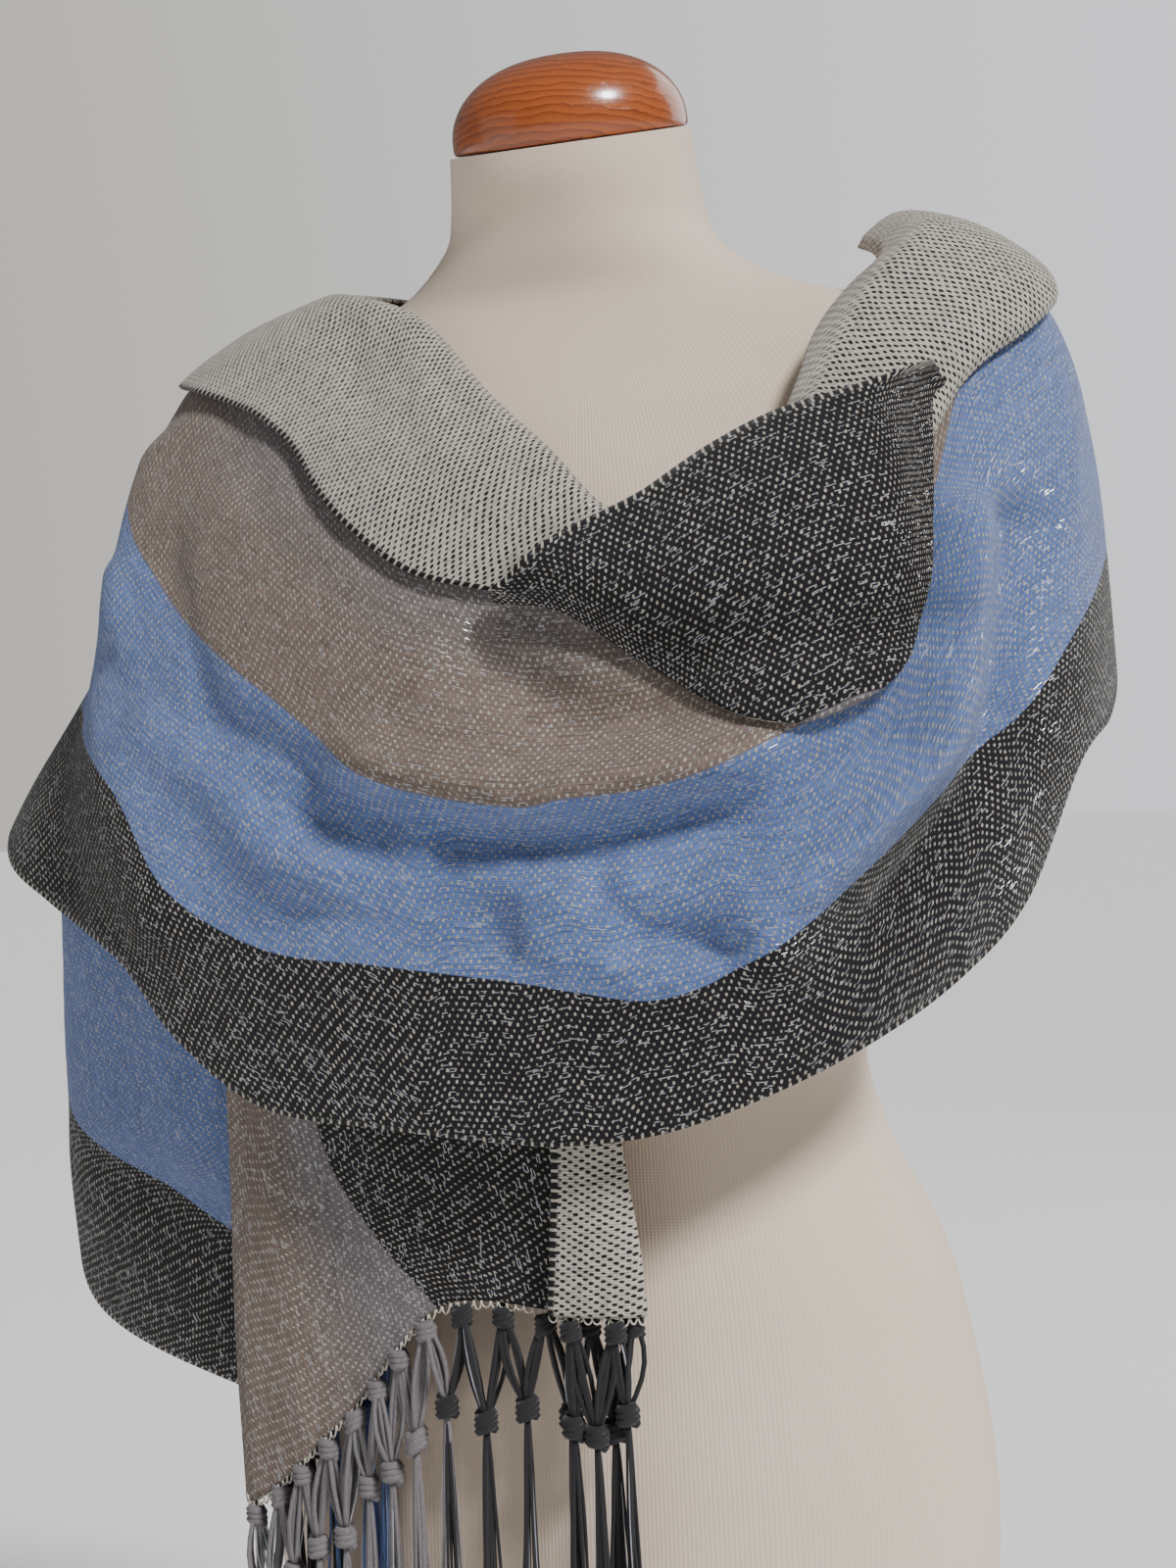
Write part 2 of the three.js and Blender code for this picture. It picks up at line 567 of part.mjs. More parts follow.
const GRIDS = {
  front_wrap: hungGrid(FRONT_WRAP.map(wrapStation), 2, 3),
  collar_left: hungGrid(COLLAR_LEFT.map(collarStation), 2, 2),
  band_right: hungGrid(BAND_RIGHT.map(({ turn, top, crease, low, out, lowOut }) => [
    [turn, top, out],
    [turn, (top + crease) / 2, out],
    [turn, crease, (out + lowOut) / 2],
    [turn, low, lowOut],
  ]), 3, 2),
  lapel_right: hungGrid(LAPEL_RIGHT.map(lapelStation), 3, 2),
  front_end: hungGrid(frontEnd(), 2, 2),
  left_flare: hungGrid(leftFlare(), 3, 2),
  back_drape: hungGrid(backDrape(), 3, 2),
  back_end: hungGrid(backEnd(), 3, 2),
};

function meshOf(name, solid, material) {
  const { vertProperties, triVerts } = solid.getMesh();
  const geometry = new THREE.BufferGeometry();
  geometry.setAttribute("position", new THREE.BufferAttribute(Float32Array.from(vertProperties), 3));
  geometry.setIndex([...triVerts]);
  geometry.computeVertexNormals();
  const mesh = new THREE.Mesh(geometry, material);
  mesh.name = name;
  return mesh;
}

const part = new THREE.Group();
part.name = "scarf_on_dress_form";
for (const [name, grid] of Object.entries(GRIDS)) {
  part.add(meshOf(name, clothSolid(grid), MATERIALS.woven_cloth));
}
part.add(
  meshOf("front_fringe", fringe(GRIDS.front_end, 15), MATERIALS.fringe_yarn),
  meshOf("flare_fringe", fringe([...GRIDS.left_flare].reverse(), 5), MATERIALS.fringe_yarn),
  meshOf("back_fringe", fringe([...GRIDS.back_end].reverse(), 14), MATERIALS.fringe_yarn),
  meshOf("torso", formSolid(), MATERIALS.jersey),
  meshOf("neck_cap", capSolid(), MATERIALS.cap_wood),
  meshOf("pole", poleSolid(), MATERIALS.stand_wood),
  meshOf("foot", footSolid(), MATERIALS.stand_wood),
);
export default part;
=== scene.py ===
"""Looks of a wide striped stole with knotted fringes, wound round a limbless dress form.

Each stretch of the stole is a thin sheet on the form of its solid. The tables hold millimetres
and degrees, as the solids' own tables do, and the meshes are in metres.
"""

import logging
import math
from dataclasses import dataclass
from enum import Enum
from typing import Callable

import bpy
import numpy as np
from mathutils import Matrix, Vector


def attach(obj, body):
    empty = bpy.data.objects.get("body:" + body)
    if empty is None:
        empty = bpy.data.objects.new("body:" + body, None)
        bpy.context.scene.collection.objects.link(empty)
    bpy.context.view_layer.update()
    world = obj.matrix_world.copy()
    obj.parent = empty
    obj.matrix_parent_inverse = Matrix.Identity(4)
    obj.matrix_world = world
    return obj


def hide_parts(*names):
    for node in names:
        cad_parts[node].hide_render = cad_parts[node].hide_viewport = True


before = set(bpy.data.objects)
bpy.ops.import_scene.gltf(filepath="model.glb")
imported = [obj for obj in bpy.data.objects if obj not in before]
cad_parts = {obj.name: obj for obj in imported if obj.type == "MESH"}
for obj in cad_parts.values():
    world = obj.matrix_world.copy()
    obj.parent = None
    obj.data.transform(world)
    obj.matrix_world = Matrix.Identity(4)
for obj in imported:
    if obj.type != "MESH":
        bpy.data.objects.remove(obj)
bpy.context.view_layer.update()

log = logging.getLogger("stole")
MM = 0.001

# widths of the stole's stripes, from the selvedge that lies at the neck
BLACK_UPPER = 130.0
TAUPE = 125.0
BLUE = 125.0
BLACK_LOWER = 90.0
TAUPE_START = BLACK_UPPER
BLUE_START = TAUPE_START + TAUPE
LOWER_START = BLUE_START + BLUE
STOLE_WIDTH = LOWER_START + BLACK_LOWER

# thickness of the woven cloth, and how far a turned edge curls in towards the form
CLOTH = 1.3
CURL = 5.5

# greyer part of the taupe stripe, and how softly it turns into taupe
GREYER = 46.0
GREYER_BLEND = 34.0

# mean radius of the shell, which makes a turn comparable with a height in the tables of folds
MEAN_RADIUS = 190.0

# how far off the shell the front wrap lies
WRAP_OUT = 2

# shares of the way across a stretch of five lines
QUARTERS = (0, 0.25, 0.5, 0.75, 1)

# a turn in degrees, a height, and how far out of the shell
Place = tuple[float, float, float]


class LevelTable:
    """Rows of values by height, blended between the rows without overshoot."""

    def __init__(self, rows: tuple[tuple[float, ...], ...]) -> None:
        """Keeps the rows and works out the slope at each.

        Args:
            rows: the height first, then the values at that height.
        """
        table = np.array(rows, dtype=float)
        self.ups = table[:, 0]
        self.values = table[:, 1:]
        steps = np.diff(self.values, axis=0) / np.diff(self.ups)[:, None]
        before, after = steps[:-1], steps[1:]
        same = before * after > 0
        total = np.where(same, before + after, 1.0)
        self.slopes = np.zeros_like(self.values)
        self.slopes[1:-1] = np.where(same, 2 * before * after / total, 0.0)

    def at(self, up: np.ndarray) -> np.ndarray:
        """Blends the rows at each height.

        Args:
            up: heights of any shape.

        Returns:
            The values, with one more axis at the end.
        """
        height = np.clip(up, self.ups[0], self.ups[-1])
        high = np.clip(np.searchsorted(self.ups, height), 1, len(self.ups) - 1)
        low = high - 1
        span = (self.ups[high] - self.ups[low])[..., None]
        t = (height - self.ups[low])[..., None] / span
        start = self.values[low] * (1 + 2 * t) * (1 - t) ** 2 + self.values[high] * t * t * (3 - 2 * t)
        lean = self.slopes[low] * t * (1 - t) ** 2 - self.slopes[high] * t * t * (1 - t)
        return start + span * lean


# shell that the cloth hangs on: up, reach to the left, to the right, front, back, shift
HANG = LevelTable((
    (250, 304, 205, 150, 150, 10),
    (400, 314, 205, 156, 145, 10),
    (500, 312, 215, 162, 138, 10),
    (600, 298, 222, 162, 130, 10),
    (683, 264, 229, 158, 122, 8),
    (750, 241, 231, 137, 118, 6),
    (800, 229, 228, 102, 112, 4),
    (835, 214, 217, 78, 98, 4),
    (856, 180, 188, 68, 84, 4),
    (872, 126, 136, 63, 74, 2),
    (888, 88, 98, 61, 68, 0),
    (910, 71, 76, 61, 62, -6),
    (960, 64, 66, 60, 60, -14),
))
ROUNDNESS = 2.2

# dress form: up, half width, front depth, back depth, shift to the back
FORM = LevelTable((
    (190, 160, 100, 106, 0),
    (200, 167, 105, 112, 0),
    (300, 176, 108, 120, 0),
    (400, 162, 104, 108, 0),
    (510, 122, 90, 82, 0),
    (600, 138, 112, 88, 0),
    (683, 156, 134, 96, 0),
    (745, 168, 118, 101, 0),
    (795, 186, 88, 97, 0),
    (828, 194, 68, 85, 3),
    (848, 160, 58, 71, 4),
    (864, 108, 53, 61, 3),
    (880, 78, 53, 56, -1),
    (900, 62, 54, 53, -4),
    (941, 57, 55, 55, -11),
))


@dataclass(frozen=True)
class Fold:
    """A soft ridge or trough of the cloth through three places, each a turn and a height."""

    name: str
    a: tuple[float, float]
    b: tuple[float, float]
    c: tuple[float, float]
    reach: float
    out: float


FOLDS = (
    Fold("lip of the taupe stripe", (-20, 650), (8, 632), (38, 648), 13, 8),
    Fold("hollow over the lip", (2, 688), (16, 668), (30, 672), 23, -9),
    Fold("shade under the lip", (-4, 610), (16, 606), (34, 622), 14, -8),
    Fold("swag valley", (-62, 700), (-40, 640), (2, 584), 15, -7),
    Fold("swag ridge", (-52, 668), (-30, 606), (20, 590), 14, 7),
    Fold("right fold edge", (64, 735), (58, 640), (38, 580), 15, 11),
    Fold("right fold valley", (75, 735), (69, 650), (50, 580), 18, -9),
    Fold("side fold", (-76, 800), (-62, 690), (-48, 585), 17, 8),
    Fold("side valley", (-88, 780), (-76, 690), (-66, 600), 20, -8),
    Fold("crease of the black band", (6, 712), (30, 688), (60, 696), 13, -8),
)

# smaller creases that only the fine sheets have
CREASES = (
    Fold("long pull over the taupe", (-60, 812), (-40, 760), (-14, 712), 9, 1.6),
    Fold("short pull over the taupe", (-50, 775), (-34, 738), (-20, 716), 7, -1.4),
    Fold("shoulder pull", (-74, 826), (-58, 782), (-44, 752), 8, 1.5),
    Fold("pocket in the blue", (18, 592), (24, 574), (34, 566), 10, -6.5),
    Fold("rim of the pocket", (8, 572), (22, 556), (40, 562), 8, 4.0),
    Fold("depth of the hollow", (0, 690), (14, 662), (26, 662), 15, -5.5),
    Fold("crest of the lip", (-16, 648), (8, 633), (34, 642), 9, 5.0),
    Fold("shade under the crest", (-6, 618), (14, 614), (32, 626), 9, -5.5),
    Fold("long ridge of the swag", (-68, 740), (-52, 668), (-24, 604), 10, 4.5),
    Fold("long trough of the swag", (-60, 752), (-42, 672), (-14, 622), 10, -4.5),
    Fold("crisp edge of the right fold", (66, 740), (60, 650), (44, 590), 8, 5.0),
    Fold("dark side of the right fold", (72, 742), (67, 650), (54, 588), 9, -6.0),
    Fold("upper blue pull", (-36, 652), (-18, 622), (4, 606), 8, 1.4),
    Fold("lower blue pull", (-30, 588), (-8, 572), (14, 566), 7, -1.5),
    Fold("blue pull beside the fold", (50, 690), (44, 640), (30, 600), 8, -1.6),
    Fold("right side pull", (84, 790), (80, 730), (72, 670), 9, 1.8),
    Fold("hem roll left", (-52, 590), (-30, 545), (-8, 520), 10, 1.6),
    Fold("hem trough", (-20, 532), (6, 516), (30, 526), 9, -1.6),
    Fold("hem roll right", (30, 548), (48, 580), (62, 622), 9, 1.8),
    Fold("end panel trough", (-30, 480), (-29, 410), (-26, 340), 12, -2.2),
    Fold("end panel ridge", (-40, 470), (-38, 400), (-37, 330), 10, 1.8),
    Fold("collar pull", (-40, 845), (-20, 800), (-4, 760), 9, 1.4),
    Fold("collar dip", (-58, 850), (-46, 826), (-34, 800), 8, -1.6),
    Fold("upper back swag", (120, 800), (165, 770), (215, 790), 16, 4),
    Fold("upper back trough", (112, 760), (160, 738), (208, 752), 14, -4),
    Fold("lower back swag", (112, 722), (150, 700), (196, 700), 15, 4),
    Fold("lower back trough", (118, 692), (152, 672), (190, 668), 12, -3),
    Fold("back end pull", (-112, 800), (-126, 700), (-132, 610), 14, 3),
    Fold("back end trough", (-128, 790), (-142, 700), (-146, 620), 13, -3),
    Fold("side hang ridge", (-72, 620), (-76, 520), (-70, 440), 14, 2.5),
    Fold("side hang trough", (-62, 600), (-63, 520), (-58, 450), 13, -2.5),
)


def leg_gap(place: np.ndarray, start: np.ndarray, end: np.ndarray) -> np.ndarray:
    """Distance from places to a straight leg.

    Args:
        place: places, with two values each.
        start: start of the leg.
        end: end of the leg.

    Returns:
        One distance for each place.
    """
    leg = end - start
    t = np.clip((place - start) @ leg / (leg @ leg), 0, 1)
    return np.linalg.norm(place - start - t[..., None] * leg, axis=-1)


def relief(turn: np.ndarray, up: np.ndarray) -> np.ndarray:
    """How far the folds and creases push the cloth out.

    Args:
        turn: turns from the front, in degrees.
        up: heights.

    Returns:
        The push at each place.
    """
    turn = (turn + 180) % 360 - 180
    place = np.stack([np.radians(turn) * MEAN_RADIUS, up], axis=-1)
    wrapped = np.stack([np.radians(turn + 360) * MEAN_RADIUS, up], axis=-1)
    total = np.zeros_like(up)
    for fold in (*FOLDS, *CREASES):
        corners = (fold.a, fold.b, fold.c)
        a, b, c = (np.array([math.radians(t) * MEAN_RADIUS, u]) for t, u in corners)
        gap = np.minimum(leg_gap(place, a, b), leg_gap(place, b, c))
        far = np.minimum(leg_gap(wrapped, a, b), leg_gap(wrapped, b, c))
        total += fold.out * np.exp(-((np.minimum(gap, far) / fold.reach) ** 2))
    return total


def shell(turn: np.ndarray, up: np.ndarray) -> np.ndarray:
    """Points of the hanging shell.

    Args:
        turn: turns from the front, in degrees to the viewer's right.
        up: heights.

    Returns:
        Points in millimetres.
    """
    left, right, front, back, shift = np.moveaxis(HANG.at(up), -1, 0)
    across = np.sin(np.radians(turn))
    along = -np.cos(np.radians(turn))
    side = np.where(across < 0, left, right)
    depth = np.where(along < 0, front, back)
    total = np.abs(across / side) ** ROUNDNESS + np.abs(along / depth) ** ROUNDNESS
    radius = total ** (-1 / ROUNDNESS)
    return np.stack([radius * across, shift + radius * along, up], axis=-1)


def hung(cells: np.ndarray) -> np.ndarray:
    """Points off the shell, moved out along its normal with the folds.

    Args:
        cells: turn, height and how far out, on the last axis.

    Returns:
        Points in millimetres.
    """
    turn, up, out = np.moveaxis(cells, -1, 0)
    around = shell(turn + 0.5, up) - shell(turn - 0.5, up)
    rise = shell(turn, up + 1) - shell(turn, up - 1)
    normal = np.cross(around, rise)
    normal /= np.linalg.norm(normal, axis=-1, keepdims=True)
    return shell(turn, up) + normal * (out + relief(turn, up))[..., None]


def spread(values: np.ndarray, steps: int) -> np.ndarray:
    """Smooth curve through equally spaced values along the first axis.

    Args:
        values: values that the curve passes through.
        steps: samples for each gap between two values.

    Returns:
        The samples.
    """
    last = len(values) - 1
    places = np.arange(last * steps + 1) / steps
    index = np.minimum(places.astype(int), last - 1)
    t = (places - index).reshape((-1,) + (1,) * (values.ndim - 1))
    padded = np.concatenate([[2 * values[0] - values[1]], values, [2 * values[-1] - values[-2]]])
    a, b, c, d = (padded[index + k] for k in range(4))
    square = (2 * a - 5 * b + 4 * c - d) * t**2
    cube = (3 * b - a - 3 * c + d) * t**3
    return 0.5 * (2 * b + (c - a) * t + square + cube)


def linear(red: int, green: int, blue: int) -> tuple[float, float, float, float]:
    """Colour for a shader from 0 to 255 values as seen on a screen."""
    parts = [v / 255 for v in (red, green, blue)]
    return (*(v / 12.92 if v <= 0.04045 else ((v + 0.055) / 1.055) ** 2.4 for v in parts), 1.0)


class Dye(Enum):
    """Yarn colours of the stole."""

    BLACK = linear(26, 24, 28)
    TAUPE = linear(118, 103, 94)
    GREY = linear(112, 107, 110)
    BLUE = linear(94, 116, 168)
    NATURAL = linear(206, 198, 184)
    SILVER = linear(184, 187, 196)


class Graph:
    """Short ways to add and join the nodes of a shader or a node group."""

    def __init__(self, tree: bpy.types.NodeTree) -> None:
        """Keeps the tree that the nodes go into."""
        self.tree = tree

    def add(self, kind: str, **settings: object) -> bpy.types.Node:
        """Adds a node and sets its properties."""
        node = self.tree.nodes.new(kind)
        for name, value in settings.items():
            setattr(node, name, value)
        return node

    def put(self, target: bpy.types.NodeSocket, value: object) -> None:
        """Joins a socket to another, or sets its value."""
        if isinstance(value, bpy.types.NodeSocket):
            self.tree.links.new(value, target)
        else:
            target.default_value = value

    def math(self, operation: str, *values: object) -> bpy.types.NodeSocket:
        """Adds a math node.

        Args:
            operation: name of the operation.
            values: its sockets or numbers.

        Returns:
            The result's socket.
        """
        node = self.add("ShaderNodeMath", operation=operation)
        for target, value in zip(node.inputs, values):
            self.put(target, value)
        return node.outputs[0]

    def range(self, value: object, low: float, high: float) -> bpy.types.NodeSocket:
        """Smooth rise from 0 at low to 1 at high."""
        node = self.add("ShaderNodeMapRange", interpolation_type="SMOOTHSTEP")
        for name, number in (("Value", value), ("From Min", low), ("From Max", high)):
            self.put(node.inputs[name], number)
        return node.outputs["Result"]

    def blend(self, share: object, first: object, second: object) -> bpy.types.NodeSocket:
        """Mixes two colours by a share of the second."""
        node = self.add("ShaderNodeMix", data_type="RGBA")
        colours = [s for s in node.inputs if s.type == "RGBA"]
        self.put(node.inputs[0], share)
        self.put(colours[0], first)
        self.put(colours[1], second)
        return next(s for s in node.outputs if s.type == "RGBA")

    def scaled(self, colour: object, strength: object) -> bpy.types.NodeSocket:
        """Multiplies a colour by a number."""
        node = self.add("ShaderNodeVectorMath", operation="SCALE")
        self.put(node.inputs[0], colour)
        self.put(node.inputs["Scale"], strength)
        return node.outputs[0]

    def noise(self, place: object, scale: float, detail: float = 2.0) -> bpy.types.NodeSocket:
        """Soft noise from 0 to 1 at a place."""
        node = self.add("ShaderNodeTexNoise")
        self.put(node.inputs["Vector"], place)
        self.put(node.inputs["Scale"], scale)
        self.put(node.inputs["Detail"], detail)
        return node.outputs[0]

    def chance(self, *parts: object) -> bpy.types.NodeSocket:
        """Random number for a cell that two or three whole numbers name."""
        place = self.add("ShaderNodeCombineXYZ")
        for target, value in zip(place.inputs, parts):
            self.put(target, value)
        node = self.add("ShaderNodeTexWhiteNoise", noise_dimensions="3D")
        self.put(node.inputs["Vector"], place.outputs[0])
        return node.outputs["Value"]


def new_group(name: str, takes: dict[str, str], gives: dict[str, str]) -> tuple[Graph, dict, dict]:
    """Starts a node group.

    Args:
        name: the group's name.
        takes: name and kind of each input.
        gives: name and kind of each output.

    Returns:
        Its graph, the sockets that it reads and those that it fills.
    """
    tree = bpy.data.node_groups.new(name, "ShaderNodeTree")
    for label, kind in takes.items():
        tree.interface.new_socket(name=label, in_out="INPUT", socket_type=kind)
    for label, kind in gives.items():
        tree.interface.new_socket(name=label, in_out="OUTPUT", socket_type=kind)
    graph = Graph(tree)
    entry = graph.add("NodeGroupInput")
    leave = graph.add("NodeGroupOutput")
    return graph, {k: entry.outputs[k] for k in takes}, {k: leave.inputs[k] for k in gives}


@dataclass(frozen=True)
class Weave:
    """The woven cloth: spacing of its floats, its stripes and its fine bright thread."""

    float_length: float = 3.5
    warp_pitch: float = 2.5
    thread: float = 0.62
    pick: float = 1.15
    glint_length: float = 2.6
    glint_pitch: float = 0.6

    def group(self) -> bpy.types.NodeTree:
        """Builds the node group that draws the cloth on either face.

        Returns:
            A group from the cloth's two maps to colour, height and glint.
        """
        g, takes, gives = new_group(
            "stole_weave",
            {"Cloth": "NodeSocketVector", "Stripe": "NodeSocketVector", "Reverse": "NodeSocketFloat"},
            {"Color": "NodeSocketColor", "Height": "NodeSocketFloat", "Glint": "NodeSocketFloat"},
        )
        cloth = g.add("ShaderNodeSeparateXYZ")
        g.put(cloth.inputs[0], takes["Cloth"])
        along = g.math("DIVIDE", cloth.outputs[0], self.float_length * MM)
        across = g.math("DIVIDE", cloth.outputs[1], self.warp_pitch * MM)
        column = g.math("FLOOR", across)
        shifted = g.math("ADD", along, g.math("MULTIPLY", column, 0.4))
        uneven = g.math("MULTIPLY_ADD", g.noise(takes["Cloth"], 140.0), 0.5, shifted)
        cell = g.math("FLOOR", uneven)
        near = g.math("SUBTRACT", g.math("FRACT", uneven), 0.5)
        beside = g.math("SUBTRACT", g.math("FRACT", across), 0.5)
        luck = g.chance(cell, column, 3.0)

        warp = self._stripe_colour(g, takes["Stripe"])
        size = g.math("MULTIPLY_ADD", luck, 0.3, 0.82)
        front_dot = self._dot(g, near, beside, size, 0.18, 0.32)
        back_dot = self._dot(g, near, beside, size, 0.2, 0.5)

        yarns = g.math("DIVIDE", cloth.outputs[1], self.thread * MM)
        leaning = g.math("MULTIPLY_ADD", g.noise(takes["Cloth"], 260.0), 0.6, yarns)
        yarn_ridges = g.math("SINE", g.math("MULTIPLY", leaning, math.tau))
        yarn_luck = g.chance(g.math("FLOOR", yarns), g.math("FLOOR", g.math("DIVIDE", along, 2.0)), 8.0)
        # painted shade: the warp yarns are painted darker in the troughs between their ridges, in step
        # with the bump; yarn_luck adds random tone on top
        painted_ridge_shade = g.math("MULTIPLY_ADD", yarn_ridges, 0.2, 0.72)
        yarn_tone_and_ridge_shade = g.math("MULTIPLY_ADD", yarn_luck, 0.5, painted_ridge_shade)
        front_ground = g.scaled(warp, yarn_tone_and_ridge_shade)

        picks = g.math("DIVIDE", cloth.outputs[0], self.pick * MM)
        wavy = g.math("MULTIPLY_ADD", g.noise(takes["Cloth"], 200.0), 0.7, picks)
        pick_wave = g.math("SINE", g.math("MULTIPLY", wavy, math.tau))
        bunch = g.math("FLOOR", g.math("DIVIDE", across, 1.5))
        pick_luck = g.chance(g.math("FLOOR", picks), bunch, 5.0)
        # painted shade: the weft picks are painted darker in the troughs between them, in step with the
        # bump; pick_luck adds random tone on top
        painted_pick_shade = g.math("MULTIPLY_ADD", pick_wave, 0.14, 0.62)
        pick_tone_and_painted_shade = g.math("MULTIPLY_ADD", pick_luck, 0.26, painted_pick_shade)
        back_ground = g.scaled(Dye.NATURAL.value[:3], pick_tone_and_painted_shade)

        weft = g.scaled(Dye.NATURAL.value[:3], g.math("MULTIPLY_ADD", luck, 0.3, 0.42))
        front = g.blend(front_dot, front_ground, weft)
        back = g.blend(back_dot, back_ground, g.scaled(warp, 0.85))
        woven = g.blend(takes["Reverse"], front, back)
        edged = self._selvedge(g, takes["Stripe"], woven, warp)
        soft = g.math("MULTIPLY_ADD", g.noise(takes["Cloth"], 22.0), 0.24, 0.88)
        g.put(gives["Color"], g.scaled(edged, soft))

        front_height = g.math("MULTIPLY_ADD", front_dot, 0.6, g.math("MULTIPLY", yarn_ridges, 0.2))
        back_height = g.math("MULTIPLY_ADD", back_dot, -0.9, g.math("MULTIPLY", pick_wave, 0.25))
        lean = g.math("SUBTRACT", back_height, front_height)
        g.put(gives["Height"], g.math("MULTIPLY_ADD", lean, takes["Reverse"], front_height))
        g.put(gives["Glint"], self._glint(g, cloth, front_dot, takes["Reverse"]))
        return g.tree

    def _stripe_colour(self, g: Graph, stripe: bpy.types.NodeSocket) -> bpy.types.NodeSocket:
        """Warp colour at a place across the stole."""
        parts = g.add("ShaderNodeSeparateXYZ")
        g.put(parts.inputs[0], stripe)
        across = parts.outputs[1]
        grey_end = TAUPE_START + GREYER
        dyes = (
            (TAUPE_START, 0.5, Dye.GREY.value),
            (grey_end, GREYER_BLEND, Dye.TAUPE.value),
            (BLUE_START, 0.5, Dye.BLUE.value),
            (LOWER_START, 0.5, Dye.BLACK.value),
        )
        colour: object = Dye.BLACK.value
        for start, soft, dye in dyes:
            share = g.range(across, (start - soft) * MM, (start + soft) * MM)
            colour = g.blend(share, colour, dye)
        return colour

    def _dot(
        self, g: Graph, near: object, beside: object, size: object, length: float, width: float,
    ) -> object:
        """Mask of the spots where the other yarn comes up.

        Args:
            g: graph of the group.
            near: place along the float, about its middle.
            beside: place across the float, about its middle.
            size: size of this spot.
            length: half length as a share of the float.
            width: half width as a share of the pitch.

        Returns:
            A mask socket.
        """
        u = g.math("DIVIDE", near, length)
        v = g.math("DIVIDE", beside, width)
        away = g.math("SQRT", g.math("ADD", g.math("MULTIPLY", u, u), g.math("MULTIPLY", v, v)))
        return g.math("SUBTRACT", 1.0, g.range(g.math("DIVIDE", away, size), 0.7, 1.15))

    def _selvedge(self, g: Graph, stripe: object, woven: object, warp: object) -> object:
        """Darkens the outermost threads and puts light stitches on them."""
        parts = g.add("ShaderNodeSeparateXYZ")
        g.put(parts.inputs[0], stripe)
        from_far = g.math("SUBTRACT", STOLE_WIDTH * MM, parts.outputs[1])
        from_edge = g.math("MINIMUM", parts.outputs[1], from_far)
        edge = g.math("SUBTRACT", 1.0, g.range(from_edge, 2.0 * MM, 3.2 * MM))
        wave = g.math("SINE", g.math("MULTIPLY", parts.outputs[0], math.tau / (4.2 * MM)))
        stitch = g.range(wave, 0.45, 0.75)
        trim = g.blend(g.math("MULTIPLY", stitch, 0.85), g.scaled(warp, 0.8), Dye.NATURAL.value)
        return g.blend(edge, woven, trim)

    def _glint(self, g: Graph, cloth: bpy.types.Node, dot: object, reverse: object) -> object:
        """Mask of the bright thread where it shows on the face."""
        lines = g.math("DIVIDE", cloth.outputs[1], self.glint_pitch * MM)
        line = g.math("FLOOR", lines)
        start = g.math("MULTIPLY", g.chance(line, 1.0, 2.0), 7.0)
        run = g.math("ADD", g.math("DIVIDE", cloth.outputs[0], self.glint_length * MM), start)
        luck = g.chance(line, g.math("FLOOR", run), 4.0)
        lit = g.math("GREATER_THAN", luck, g.math("MULTIPLY_ADD", reverse, 0.04, 0.94))
        inside = g.math("SUBTRACT", g.math("FRACT", lines), 0.5)
        thin = g.math("SUBTRACT", 1.0, g.range(g.math("ABSOLUTE", inside), 0.16, 0.4))
        return g.math("MULTIPLY", g.math("MULTIPLY", lit, thin), g.math("SUBTRACT", 1.0, dot))


